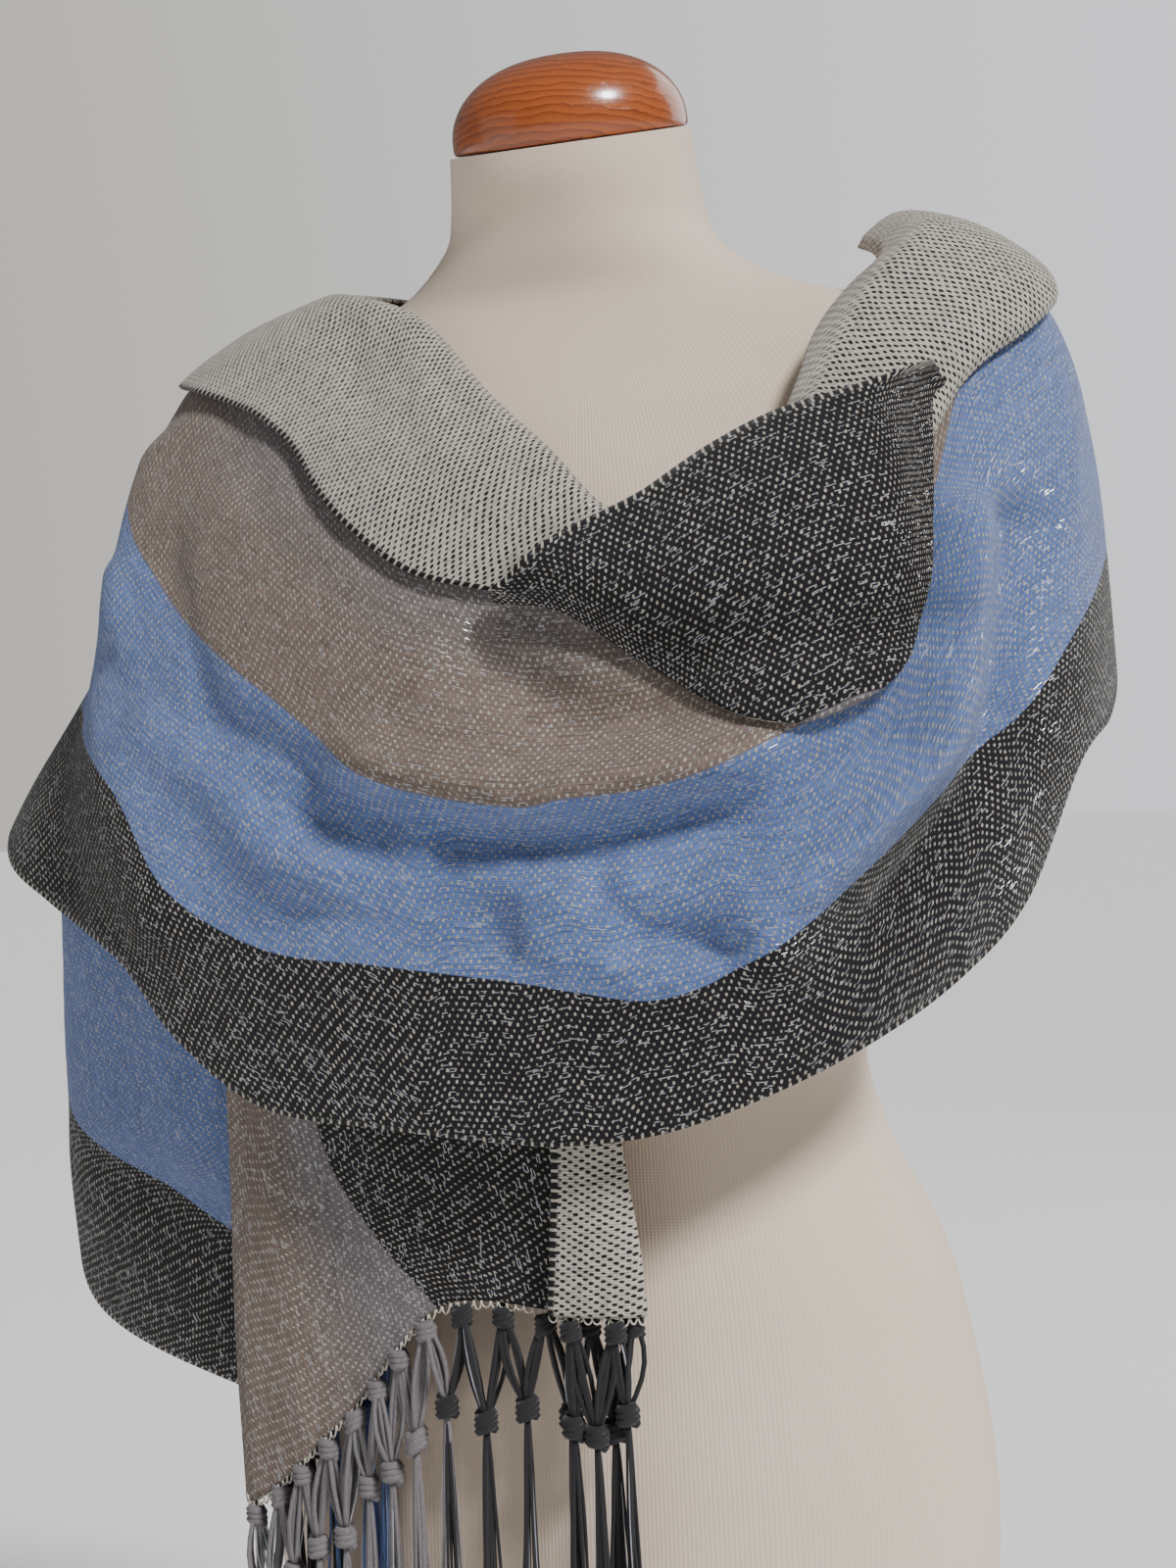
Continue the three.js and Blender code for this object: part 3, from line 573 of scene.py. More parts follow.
class Finishes:
    """Every material of the part, made once."""

    def __init__(self) -> None:
        """Builds the shared groups and the materials."""
        self.weave = Weave().group()
        self.warp_face = self._cloth("warp_face", 0.0)
        self.weft_face = self._cloth("weft_face", 1.0)
        self.yarns = {dye: self._yarn(dye) for dye in Dye}
        self.jersey = self._jersey()
        self.cap = self._wood("cap_wood_polished", linear(176, 92, 44), linear(112, 50, 20), 0.24, 0.5)
        self.stand = self._wood("stand_wood_satin", linear(150, 88, 48), linear(96, 50, 24), 0.4, 0.1)

    def _start(self, name: str) -> tuple[bpy.types.Material, Graph, bpy.types.Node]:
        """New material with its graph and its surface shader."""
        material = bpy.data.materials.new(name)
        material.use_nodes = True
        graph = Graph(material.node_tree)
        return material, graph, material.node_tree.nodes["Principled BSDF"]

    def _bump(
        self, g: Graph, surface: bpy.types.Node, height: object, depth: float, strength: float,
    ) -> None:
        """Adds relief to a surface from a height."""
        bump = g.add("ShaderNodeBump")
        g.put(bump.inputs["Height"], height)
        bump.inputs["Distance"].default_value = depth
        bump.inputs["Strength"].default_value = strength
        g.put(surface.inputs["Normal"], bump.outputs[0])

    def _cloth(self, name: str, reverse: float) -> bpy.types.Material:
        """Woven cloth, on its warp face or on its weft face."""
        material, g, surface = self._start(name)
        weave = g.add("ShaderNodeGroup", node_tree=self.weave)
        for socket, layer in (("Cloth", "weave"), ("Stripe", "stripe")):
            g.put(weave.inputs[socket], g.add("ShaderNodeUVMap", uv_map=layer).outputs[0])
        weave.inputs["Reverse"].default_value = reverse
        glint = weave.outputs["Glint"]
        g.put(surface.inputs["Base Color"], g.blend(glint, weave.outputs["Color"], Dye.SILVER.value))
        g.put(surface.inputs["Metallic"], g.math("MULTIPLY", glint, 0.75))
        g.put(surface.inputs["Roughness"], g.math("MULTIPLY_ADD", glint, -0.62, 0.9))
        surface.inputs["Sheen Weight"].default_value = 0.12
        surface.inputs["Sheen Roughness"].default_value = 0.5
        surface.inputs["Specular IOR Level"].default_value = 0.25
        self._bump(g, surface, weave.outputs["Height"], 0.5 * MM, 0.7)
        return material

    def _yarn(self, dye: Dye) -> bpy.types.Material:
        """Plied fringe yarn of one colour."""
        material, g, surface = self._start("yarn_" + dye.name.lower())
        place = g.add("ShaderNodeTexCoord").outputs["Object"]
        shiny = dye is Dye.SILVER
        shade = g.math("MULTIPLY_ADD", g.noise(place, 700.0), 0.7, 0.62)
        g.put(surface.inputs["Base Color"], g.scaled(dye.value[:3], shade))
        surface.inputs["Metallic"].default_value = 0.35 if shiny else 0.0
        surface.inputs["Roughness"].default_value = 0.28 if shiny else 0.85
        surface.inputs["Sheen Weight"].default_value = 0.0 if shiny else 0.15
        self._bump(g, surface, g.noise(place, 1500.0), 0.2 * MM, 0.5)
        return material

    def _jersey(self) -> bpy.types.Material:
        """Cream jersey cover with fine upright ribs."""
        material, g, surface = self._start("jersey_cream")
        place = g.add("ShaderNodeTexCoord").outputs["Object"]
        parts = g.add("ShaderNodeSeparateXYZ")
        g.put(parts.inputs[0], place)
        angle = g.math("ARCTAN2", parts.outputs[0], parts.outputs[1])
        rib = g.math("SINE", g.math("MULTIPLY", angle, 420.0))
        course = g.math("SINE", g.math("MULTIPLY", parts.outputs[2], math.tau / (1.3 * MM)))
        knit = g.math("MULTIPLY_ADD", course, 0.35, rib)
        patch = g.noise(place, 9.0)
        tone = g.blend(patch, linear(224, 203, 182), linear(232, 213, 194))
        # painted shade: the ribs and courses are painted slightly darker in their troughs, in step with
        # the bump
        g.put(surface.inputs["Base Color"], g.scaled(tone, g.math("MULTIPLY_ADD", knit, 0.02, 0.97)))
        surface.inputs["Roughness"].default_value = 0.92
        surface.inputs["Sheen Weight"].default_value = 0.2
        surface.inputs["Specular IOR Level"].default_value = 0.2
        self._bump(g, surface, knit, 0.15 * MM, 0.35)
        return material

    def _wood(
        self, name: str, light: tuple, dark: tuple, rough: float, coat: float,
    ) -> bpy.types.Material:
        """Turned wood whose rings show as bands of grain."""
        material, g, surface = self._start(name)
        place = g.add("ShaderNodeTexCoord").outputs["Object"]
        turned = g.add("ShaderNodeMapping")
        g.put(turned.inputs["Vector"], place)
        turned.inputs["Location"].default_value = (0.11, 0.05, -0.93)
        turned.inputs["Scale"].default_value = (1.0, 1.0, 2.2)
        bend = g.noise(turned.outputs[0], 9.0, 3.0)
        rings = g.add("ShaderNodeTexWave", wave_type="RINGS")
        rings.rings_direction = "Y"
        rings.wave_profile = "SAW"
        g.put(rings.inputs["Vector"], turned.outputs[0])
        rings.inputs["Scale"].default_value = 38.0
        rings.inputs["Distortion"].default_value = 5.0
        rings.inputs["Detail"].default_value = 3.0
        rings.inputs["Detail Scale"].default_value = 1.6
        grain = g.math("POWER", rings.outputs["Fac"], 2.0)
        pores = g.range(g.noise(turned.outputs[0], 420.0, 4.0), 0.58, 0.72)
        share = g.math("MULTIPLY_ADD", grain, 0.7, g.math("MULTIPLY", bend, 0.3))
        tone = g.blend(share, light, dark)
        g.put(surface.inputs["Base Color"], g.scaled(tone, g.math("MULTIPLY_ADD", pores, -0.22, 1.0)))
        g.put(surface.inputs["Roughness"], g.math("MULTIPLY_ADD", pores, 0.15, rough))
        surface.inputs["Coat Weight"].default_value = coat
        surface.inputs["Coat Roughness"].default_value = 0.12
        self._bump(g, surface, g.math("SUBTRACT", grain, pores), 0.15 * MM, 0.25)
        return material


def start_mesh(add: Callable[[], None], name: str) -> bpy.types.Object:
    """Adds a primitive with nothing else selected.

    Args:
        add: the operator call that adds it.
        name: name of the new piece.

    Returns:
        The new object.
    """
    bpy.ops.object.select_all(action="DESELECT")
    add()
    piece = bpy.context.active_object
    piece.name = name
    piece.data.name = name
    return piece


def dress(piece: bpy.types.Object, node: str, slot: str, *materials: bpy.types.Material) -> None:
    """Rides a piece on the part, lets it stand for its solid and gives it its materials.

    Args:
        piece: the piece.
        node: the solid that it replaces.
        slot: not used.
        materials: its materials in order.
    """
    for material in materials:
        piece.data.materials.append(material)
    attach(piece, "root")
    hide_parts(node)
    log.info("%s: %d faces", piece.name, len(piece.data.polygons))


class Face(Enum):
    """Which face of the cloth looks outwards."""

    WARP = 0
    WEFT = 1


@dataclass
class Stretch:
    """One stretch of the stole that shows: its stations on the shell and its place in the stripes."""

    name: str
    node: str
    stations: list[list[Place]]
    stripes: dict[int, float]
    sense: int
    face: Face
    along: int
    across: int
    held: str
    rests_on: tuple[str, ...]
    far_stripes: dict[int, float] | None = None
    cut: tuple[float, float] = (0.0, 0.0)

    def build(self, finishes: Finishes) -> bpy.types.Object:
        """Makes the sheet, its two maps, its thickness and its finish.

        Args:
            finishes: the part's materials.

        Returns:
            The finished sheet.
        """
        cells = spread(np.array(self.stations, dtype=float), self.along)
        cells = np.swapaxes(spread(np.swapaxes(cells, 0, 1), self.across), 0, 1)
        self.points = hung(cells)
        rows, columns = self.points.shape[:2]
        piece = start_mesh(
            lambda: bpy.ops.mesh.primitive_grid_add(x_subdivisions=rows - 1, y_subdivisions=columns - 1),
            self.name,
        )
        mesh = piece.data
        mesh.vertices.foreach_set("co", (np.swapaxes(self.points, 0, 1) * MM).ravel())
        while mesh.uv_layers:
            mesh.uv_layers.remove(mesh.uv_layers[0])
        self.across_stole = self._stripe_places()
        self._map(mesh, "weave", self._measured())
        self._map(mesh, "stripe", np.stack([self._measured()[..., 0], self.across_stole], axis=-1))
        mesh.update()
        bpy.ops.object.shade_smooth()
        faces = [finishes.warp_face, finishes.weft_face]
        if (self.face is Face.WEFT) == self._points_outward(cells):
            faces.reverse()
        dress(piece, self.node, "woven_cloth", *faces)
        bpy.ops.object.modifier_add(type="SOLIDIFY")
        wall = piece.modifiers[-1]
        wall.thickness = CLOTH * MM
        wall.offset = -1
        wall.use_quality_normals = True
        wall.material_offset = 1
        bpy.ops.object.modifier_apply(modifier=wall.name)
        area = self._area()
        length = float(np.linalg.norm(np.diff(self.points, axis=0), axis=-1).sum(axis=0).mean()) * MM
        self.cut = (area / length, length)
        log.info("%s: cut %.3f by %.3f m", self.name, *self.cut)
        return piece

    def _points_outward(self, cells: np.ndarray) -> bool:
        """Tells whether the grid's own normals point away from the form."""
        i, j = (n // 2 for n in cells.shape[:2])
        here = self.points[i, j]
        normal = np.cross(self.points[i + 1, j] - here, self.points[i, j + 1] - here)
        farther = hung(cells[i, j] + np.array([0.0, 0.0, 1.0]))
        return bool(normal @ (farther - here) > 0)

    def _measured(self) -> np.ndarray:
        """Real distance along and across the cloth at each point, from its middle row."""
        steps = np.linalg.norm(np.diff(self.points, axis=0), axis=-1)
        along = np.concatenate([np.zeros((1, steps.shape[1])), np.cumsum(steps, axis=0)])
        along -= along[len(along) // 2]
        return np.stack([along, self._reach()], axis=-1)

    def _reach(self) -> np.ndarray:
        """Real distance across the cloth at each point, from its first known stripe line."""
        steps = np.linalg.norm(np.diff(self.points, axis=1), axis=-1)
        reach = np.concatenate([np.zeros((len(steps), 1)), np.cumsum(steps, axis=1)], axis=1)
        known = min(self.stripes) * self.across
        return reach - reach[:, known:known + 1]

    def _stripe_places(self) -> np.ndarray:
        """Place across the stole of each point, from the columns where it is known."""
        reach = self._reach()
        known = sorted(self.stripes)
        far = self.far_stripes or self.stripes
        at = {k: np.linspace(self.stripes[k], far[k], len(reach))[:, None] for k in known}
        first, last = known[0] * self.across, known[-1] * self.across
        place = at[known[0]] + self.sense * reach
        for a, b in zip(known, known[1:]):
            i, j = a * self.across, b * self.across
            share = (reach[:, i:j + 1] - reach[:, i:i + 1]) / (reach[:, j:j + 1] - reach[:, i:i + 1])
            place[:, i:j + 1] = at[a] + (at[b] - at[a]) * share
        beyond = reach[:, last:] - reach[:, last:last + 1]
        place[:, last:] = at[known[-1]] + self.sense * beyond
        before = reach[:, :first + 1] - reach[:, first:first + 1]
        place[:, :first + 1] = at[known[0]] + self.sense * before
        return np.clip(place, 0.5, STOLE_WIDTH - 0.5) if len(known) > 1 else place

    def _area(self) -> float:
        """Area of the sheet in square metres."""
        p = self.points * MM
        first = np.cross(p[1:, :-1] - p[:-1, :-1], p[:-1, 1:] - p[:-1, :-1])
        second = np.cross(p[1:, :-1] - p[1:, 1:], p[:-1, 1:] - p[1:, 1:])
        return float((np.linalg.norm(first, axis=-1) + np.linalg.norm(second, axis=-1)).sum() / 2)

    def _map(self, mesh: bpy.types.Mesh, name: str, values: np.ndarray) -> None:
        """Writes a map in metres on the sheet.

        Args:
            mesh: the sheet's mesh.
            name: name of the map.
            values: two millimetre values for each point, rows first.
        """
        flat = (np.swapaxes(values, 0, 1) * MM).reshape(-1, 2)
        corner = np.empty(len(mesh.loops), dtype=int)
        mesh.loops.foreach_get("vertex_index", corner)
        layer = mesh.uv_layers.new(name=name)
        layer.uv.foreach_set("vector", flat[corner].ravel())


@dataclass(frozen=True)
class WrapRow:
    """The front wrap at one turn: its top, stripe lines and hem, and how far the hem flares."""

    turn: float
    top: float
    blue: float
    black: float
    hem: float
    flare: float

    def station(self) -> list[Place]:
        """Places of the seven lines of the wrap."""
        return [
            (self.turn, self.top, WRAP_OUT),
            (self.turn, (self.top + self.blue) / 2, WRAP_OUT),
            (self.turn, self.blue, WRAP_OUT + 1),
            (self.turn, (2 * self.blue + self.black) / 3, WRAP_OUT),
            (self.turn, (self.blue + 2 * self.black) / 3, WRAP_OUT + self.flare / 4),
            (self.turn, self.black, WRAP_OUT + self.flare / 2),
            (self.turn, self.hem, WRAP_OUT + self.flare),
        ]


FRONT_WRAP = (
    WrapRow(-90, 851, 826, 694, 626, 16),
    WrapRow(-80, 850, 798, 684, 618, 18),
    WrapRow(-67, 846, 757, 668, 588, 8),
    WrapRow(-55, 834, 724, 640, 566, 4),
    WrapRow(-46, 824, 705, 594, 530, 5),
    WrapRow(-34, 802, 680, 570, 502, 5),
    WrapRow(-16, 766, 643, 563, 495, 5),
    WrapRow(5, 722, 629, 556, 490, 5),
    WrapRow(14, 716, 631, 552, 490, 5),
    WrapRow(26, 694, 635, 549, 495, 5),
    WrapRow(38, 676, 648, 565, 508, 5),
    WrapRow(50, 715, 674, 597, 527, 5),
    WrapRow(61, 768, 742, 630, 551, 5),
    WrapRow(71, 812, 797, 655, 583, 5),
    WrapRow(80, 840, 826, 694, 640, 7),
    WrapRow(89, 856, 846, 724, 660, 9),
    WrapRow(98, 860, 850, 746, 690, 10),
)


def lerp(a: Place, b: Place, t: float, lift: float = 0.0) -> Place:
    """Place between two others, lifted off the form."""
    turn, up, out = (p + (q - p) * t for p, q in zip(a, b))
    return (turn, up, out + lift)


@dataclass(frozen=True)
class CollarRow:
    """The left collar at one station: its fold and its selvedge."""

    at: str
    fold: Place
    selvedge: Place

    def station(self) -> list[Place]:
        """Places of the five lines of the collar, with its fold curled in."""
        return [
            lerp(self.fold, self.fold, 0, -CURL),
            lerp(self.fold, self.selvedge, 0.08),
            lerp(self.fold, self.selvedge, 0.35, 1),
            lerp(self.fold, self.selvedge, 0.7, 0.5),
            self.selvedge,
        ]


COLLAR_LEFT = (
    CollarRow("under the band", (31, 739, 8), (15, 714, 8)),
    CollarRow("tip", (21, 751, 8), (2, 717, 7.4)),
    CollarRow("breast", (8, 784, 9), (-13, 727, 8)),
    CollarRow("chest", (-22, 829, 9), (-30, 757, 9)),
    CollarRow("collarbone", (-46, 858, 8), (-48, 792, 9)),
    CollarRow("front of crest", (-66, 870, 8), (-69, 822, 9)),
    CollarRow("crest", (-88, 878, 8), (-86, 839, 9)),
    CollarRow("behind crest", (-112, 879, 11), (-104, 833, 12)),
    CollarRow("back", (-140, 868, 20), (-136, 852, 20)),
)


@dataclass(frozen=True)
class BandRow:
    """The right black band at one turn: selvedge, crease and lower line, and how far out."""

    turn: float
    top: float
    crease: float
    low: float
    out: float
    low_out: float

    def station(self) -> list[Place]:
        """Places of the four lines of the band."""
        return [
            (self.turn, self.top, self.out),
            (self.turn, (self.top + self.crease) / 2, self.out),
            (self.turn, self.crease, (self.out + self.low_out) / 2),
            (self.turn, self.low, self.low_out),
        ]


BAND_RIGHT = (
    BandRow(3, 717, 714, 711, 14, 14),
    BandRow(14, 733, 714, 706, 15, 13),
    BandRow(26, 747, 698, 683, 15, 6.5),
    BandRow(38, 764, 690, 660, 17, 6.6),
    BandRow(47.5, 776, 692, 661, 18, 9),
    BandRow(56, 784, 712, 684, 19, 11),
    BandRow(60.5, 788, 762, 742, 21, 14),
    BandRow(64.5, 793, 786, 778, 22, 19),
    BandRow(67, 796, 792, 787, 23, 21),
)


@dataclass(frozen=True)
class LapelRow:
    """The right lapel at one station: its fold at the neck, its crown and its edge."""

    at: str
    neck: Place
    crown: Place
    edge: Place

    def station(self) -> list[Place]:
        """Places of the six lines of the lapel, with both edges curled in."""
        turn, up, out = self.edge
        return [
            (turn + 0.8, up - 3, out - CURL),
            self.edge,
            lerp(self.crown, self.edge, 0.5, 1.5),
            self.crown,
            lerp(self.neck, self.crown, 0.2),
            lerp(self.neck, self.neck, 0, -CURL),
        ]


LAPEL_RIGHT = (
    LapelRow("under the band", (42, 758, 8.2), (47, 758, 10), (56, 750, 11.6)),
    LapelRow("chest", (51, 788, 8.6), (55, 789, 12), (63, 772, 10.9)),
    LapelRow("collarbone", (60, 822, 8.6), (64, 820, 17), (71, 802, 14)),
    LapelRow("front of crest", (70, 849, 8.6), (73, 847, 20), (79, 822, 16)),
    LapelRow("crest", (84, 871.5, 9), (87, 867, 24), (90, 846, 18)),
    LapelRow("behind crest", (104, 866, 12), (102, 861, 22), (100, 844, 18)),
    LapelRow("shoulder blade", (123, 865, 13), (119, 853, 18), (113, 830, 15)),
    LapelRow("back", (146, 852, 13.5), (145, 847, 14), (143, 838, 13)),
)


@dataclass(frozen=True)
class EndRow:
    """The front end at one height: its two heights, and the turn of each of its lines."""

    at: str
    up: float
    low: float
    strip: float
    fold: float
    seam: float
    left: float
    out: float
    gap: float

    def station(self) -> list[Place]:
        """Places of the nine lines of the front end, round its turned strip."""
        back = self.out - self.gap
        third = (self.strip + 2 * self.fold) / 3
        return [
            (self.strip, self.up, self.out),
            (third, self.up, self.out + 1),
            (self.fold, self.up, self.out - self.gap / 2),
            (third, self.up, back - 1),
            (self.strip, self.up, back),
            (self.seam, self.up - 2, back),
            ((self.seam + self.left) / 2, (self.up + self.low) / 2 - 6, back + 1),
            (self.left + 3, self.low, back),
            (self.left, self.low, back - 2.5),
        ]


FRONT_END = (
    EndRow("edge", 414, 318, 6, 21, -14, -48, -10, 7),
    EndRow("middle", 446, 405, 7, 20, -24, -47, -10, 7),
    EndRow("hem", 488, 488, 8, 18, -31, -45, -9, 7),
    EndRow("under wrap", 570, 575, 7, 15, -30, -46, -7, 6),
    EndRow("bust", 665, 668, -4, 2, -32, -51, -3.5, 4),
    EndRow("chest", 750, 745, -16, -11, -42, -62, -3, 4),
)


@dataclass(frozen=True)
class FlareRow:
    """The left flare at one station: its hidden edge, its stripe line and its selvedge."""

    at: str
    inner: Place
    black: Place
    selvedge: Place

    def station(self) -> list[Place]:
        """Places of the five lines of the flare."""
        return [
            self.inner,
            lerp(self.inner, self.black, 0.5, 1.5),
            self.black,
            lerp(self.black, self.selvedge, 0.5, 1.5),
            self.selvedge,
        ]


LEFT_FLARE = (
    FlareRow("under wrap", (-59, 660, -6), (-76, 655, 2), (-88, 640, 13.8)),
    FlareRow("corner", (-54, 594, -20), (-84, 580, -13), (-98, 560, -10)),
    FlareRow("hip", (-45, 530, -32), (-82, 522, -20), (-94, 476, -18)),
    FlareRow("side", (-40, 486, -34), (-73, 480, -24), (-84, 425, -22)),
    FlareRow("behind end", (-32, 444, -34), (-56, 448, -32), (-73, 386, -28)),
    FlareRow("edge", (-24, 402, -35), (-36, 408, -37), (-46, 356, -38)),
)


@dataclass(frozen=True)
class DrapeRow:
    """The drape across the back at one turn."""

    turn: float
    top: float
    hem: float
    out: float
    flare: float

    def station(self) -> list[Place]:
        """Places of the five lines of the drape."""
        wave = 2 * math.sin(math.radians(self.turn * 9))
        return [
            (self.turn, self.top + (self.hem - self.top) * t, self.out + self.flare * t * t + wave * t)
            for t in QUARTERS
        ]


BACK_DRAPE = (
    DrapeRow(98.02, 856, 690, 2, 10),
    DrapeRow(120, 857, 668, 2, 9),
    DrapeRow(150, 868, 640, 0, 6),
    DrapeRow(180, 890, 628, -3, 2),
    DrapeRow(210, 892, 640, -8, 0),
    DrapeRow(235, 888, 675, -12.1, 0),
    DrapeRow(258, 886, 720, -11.3, 0),
)


@dataclass(frozen=True)
class BackEndRow:
    """The back end at one station, from its top line to its selvedge."""

    at: str
    top: Place
    hem: Place

    def station(self) -> list[Place]:
        """Places of the five lines of the back end."""
        (turn, up, out), (end_turn, end_up, end_out) = self.top, self.hem
        return [
            (turn + (end_turn - turn) * t, up + (end_up - up) * t, out + (end_out - out) * t * t)
            for t in QUARTERS
        ]


BACK_END = (
    BackEndRow("side", (-90.02, 851, 2), (-90.02, 626, 18)),
    BackEndRow("behind arm", (-112, 856, 4), (-100, 604, 20)),
    BackEndRow("shoulder blade", (-136, 846, 11), (-112, 580, 20)),
    BackEndRow("spine", (-158, 812, 16), (-126, 560, 19)),
    BackEndRow("edge", (-172, 768, 19), (-140, 548, 19)),
)


def lines(rows: tuple) -> list[list[Place]]:
    """Places of the lines at each row of a table."""
    return [row.station() for row in rows]


def stretches() -> list[Stretch]:
    """Every stretch of the stole that shows, in the order of its way round the form."""
    return [
        Stretch(
            "stole_front_wrap", "front_wrap", lines(FRONT_WRAP),
            stripes={2: BLUE_START, 5: LOWER_START, 6: STOLE_WIDTH},
            sense=1, face=Face.WARP, along=14, across=12,
            held="draped", rests_on=("torso", "front_end"),
        ),
        Stretch(
            "stole_collar_left", "collar_left", lines(COLLAR_LEFT),
            stripes={4: 0.0},
            sense=-1, face=Face.WEFT, along=18, across=9,
            held="folded", rests_on=("front_wrap",),
        ),
        Stretch(
            "stole_band_right", "band_right", lines(BAND_RIGHT),
            stripes={0: 0.0},
            sense=1, face=Face.WARP, along=10, across=10,
            held="folded", rests_on=("front_wrap",),
        ),
        Stretch(
            "stole_lapel_right", "lapel_right", lines(LAPEL_RIGHT),
            stripes={1: 24.0, 3: 127.0, 5: 190.0},
            sense=1, face=Face.WEFT, along=12, across=7,
            held="folded", rests_on=("front_wrap", "back_drape"),
        ),
        Stretch(
            "stole_front_end", "front_end", lines(FRONT_END),
            stripes={0: 0.0, 5: TAUPE_START, 8: BLUE_START - 2},
            sense=1, face=Face.WARP, along=18, across=9,
            held="hung", rests_on=("torso",),
        ),
        Stretch(
            "stole_left_flare", "left_flare", lines(LEFT_FLARE),
            stripes={0: 300.0, 2: LOWER_START, 4: STOLE_WIDTH},
            sense=1, face=Face.WARP, along=14, across=9,
            held="hung", rests_on=("front_wrap",),
        ),
        Stretch(
            "stole_back_drape", "back_drape", lines(BACK_DRAPE),
            stripes={0: 249.0, 1: 298.0, 2: 347.0, 3: 403.0, 4: STOLE_WIDTH},
            sense=1, face=Face.WARP, along=16, across=13,
            held="draped", rests_on=("torso",),
            far_stripes={0: 60.0, 1: 190.0, 2: 285.0, 3: 380.0, 4: STOLE_WIDTH},
        ),
        Stretch(
            "stole_back_end", "back_end", lines(BACK_END),
            stripes={0: 227.0, 1: 284.0, 3: 396.0, 4: STOLE_WIDTH},
            sense=1, face=Face.WARP, along=12, across=13,
            held="hung", rests_on=("back_drape",),
            far_stripes={0: 190.0, 1: 262.0, 3: 400.0, 4: STOLE_WIDTH},
        ),
    ]


class Strands:
    """Many thin yarns gathered into one mesh."""

    def __init__(self, sides: int = 5) -> None:
        """Starts with no yarn.

        Args:
            sides: corners of a yarn's section.
        """
        self.sides = sides
        self.points: list[np.ndarray] = []
        self.faces: list[tuple[int, ...]] = []
        self.dyes: list[int] = []
        self.count = 0

    def lay(self, path: np.ndarray, radius: float, dye: Dye, tip: float = 1.0) -> None:
        """Adds one yarn.

        Args:
            path: points that it follows, in millimetres.
            radius: its radius in millimetres.
            dye: its colour.
            tip: radius at its end as a share of the radius.
        """
        way = np.gradient(path, axis=0)
        way /= np.linalg.norm(way, axis=1, keepdims=True)
        lies_flat = abs(way[:, 2]).mean() < 0.6
        guide = np.array([0.0, 0.0, 1.0]) if lies_flat else np.array([1.0, 0.0, 0.0])
        side = np.cross(way, guide)
        side /= np.linalg.norm(side, axis=1, keepdims=True)
        lift = np.cross(side, way)
        angle = np.arange(self.sides) * math.tau / self.sides
        size = radius * np.linspace(1, tip, len(path))[:, None, None]
        c, s = np.cos(angle)[None, :, None], np.sin(angle)[None, :, None]
        ring = side[:, None] * c + lift[:, None] * s
        self.points.append((path[:, None] + ring * size).reshape(-1, 3))
        base, n = self.count, self.sides
        for i in range(len(path) - 1):
            for k in range(n):
                a, b = base + i * n + k, base + i * n + (k + 1) % n
                self.faces.append((a, a + n, b + n, b))
        self.faces.append(tuple(base + k for k in range(n)))
        self.faces.append(tuple(base + (len(path) - 1) * n + k for k in reversed(range(n))))
        self.dyes.extend([list(Dye).index(dye)] * ((len(path) - 1) * n + 2))
        self.count += len(path) * n

    def piece(self, name: str) -> bpy.types.Object:
        """Makes the mesh of all the yarns.

        Args:
            name: name of the new piece.

        Returns:
            The piece, with a material index for each dye.
        """
        mesh = bpy.data.meshes.new(name)
        mesh.from_pydata((np.concatenate(self.points) * MM).tolist(), [], self.faces)
        mesh.polygons.foreach_set("material_index", self.dyes)
        mesh.polygons.foreach_set("use_smooth", [True] * len(self.faces))
        mesh.update()
        made = bpy.data.objects.new(name, mesh)
        bpy.context.collection.objects.link(made)
        bpy.ops.object.select_all(action="DESELECT")
        made.select_set(True)
        bpy.context.view_layer.objects.active = made
        return made


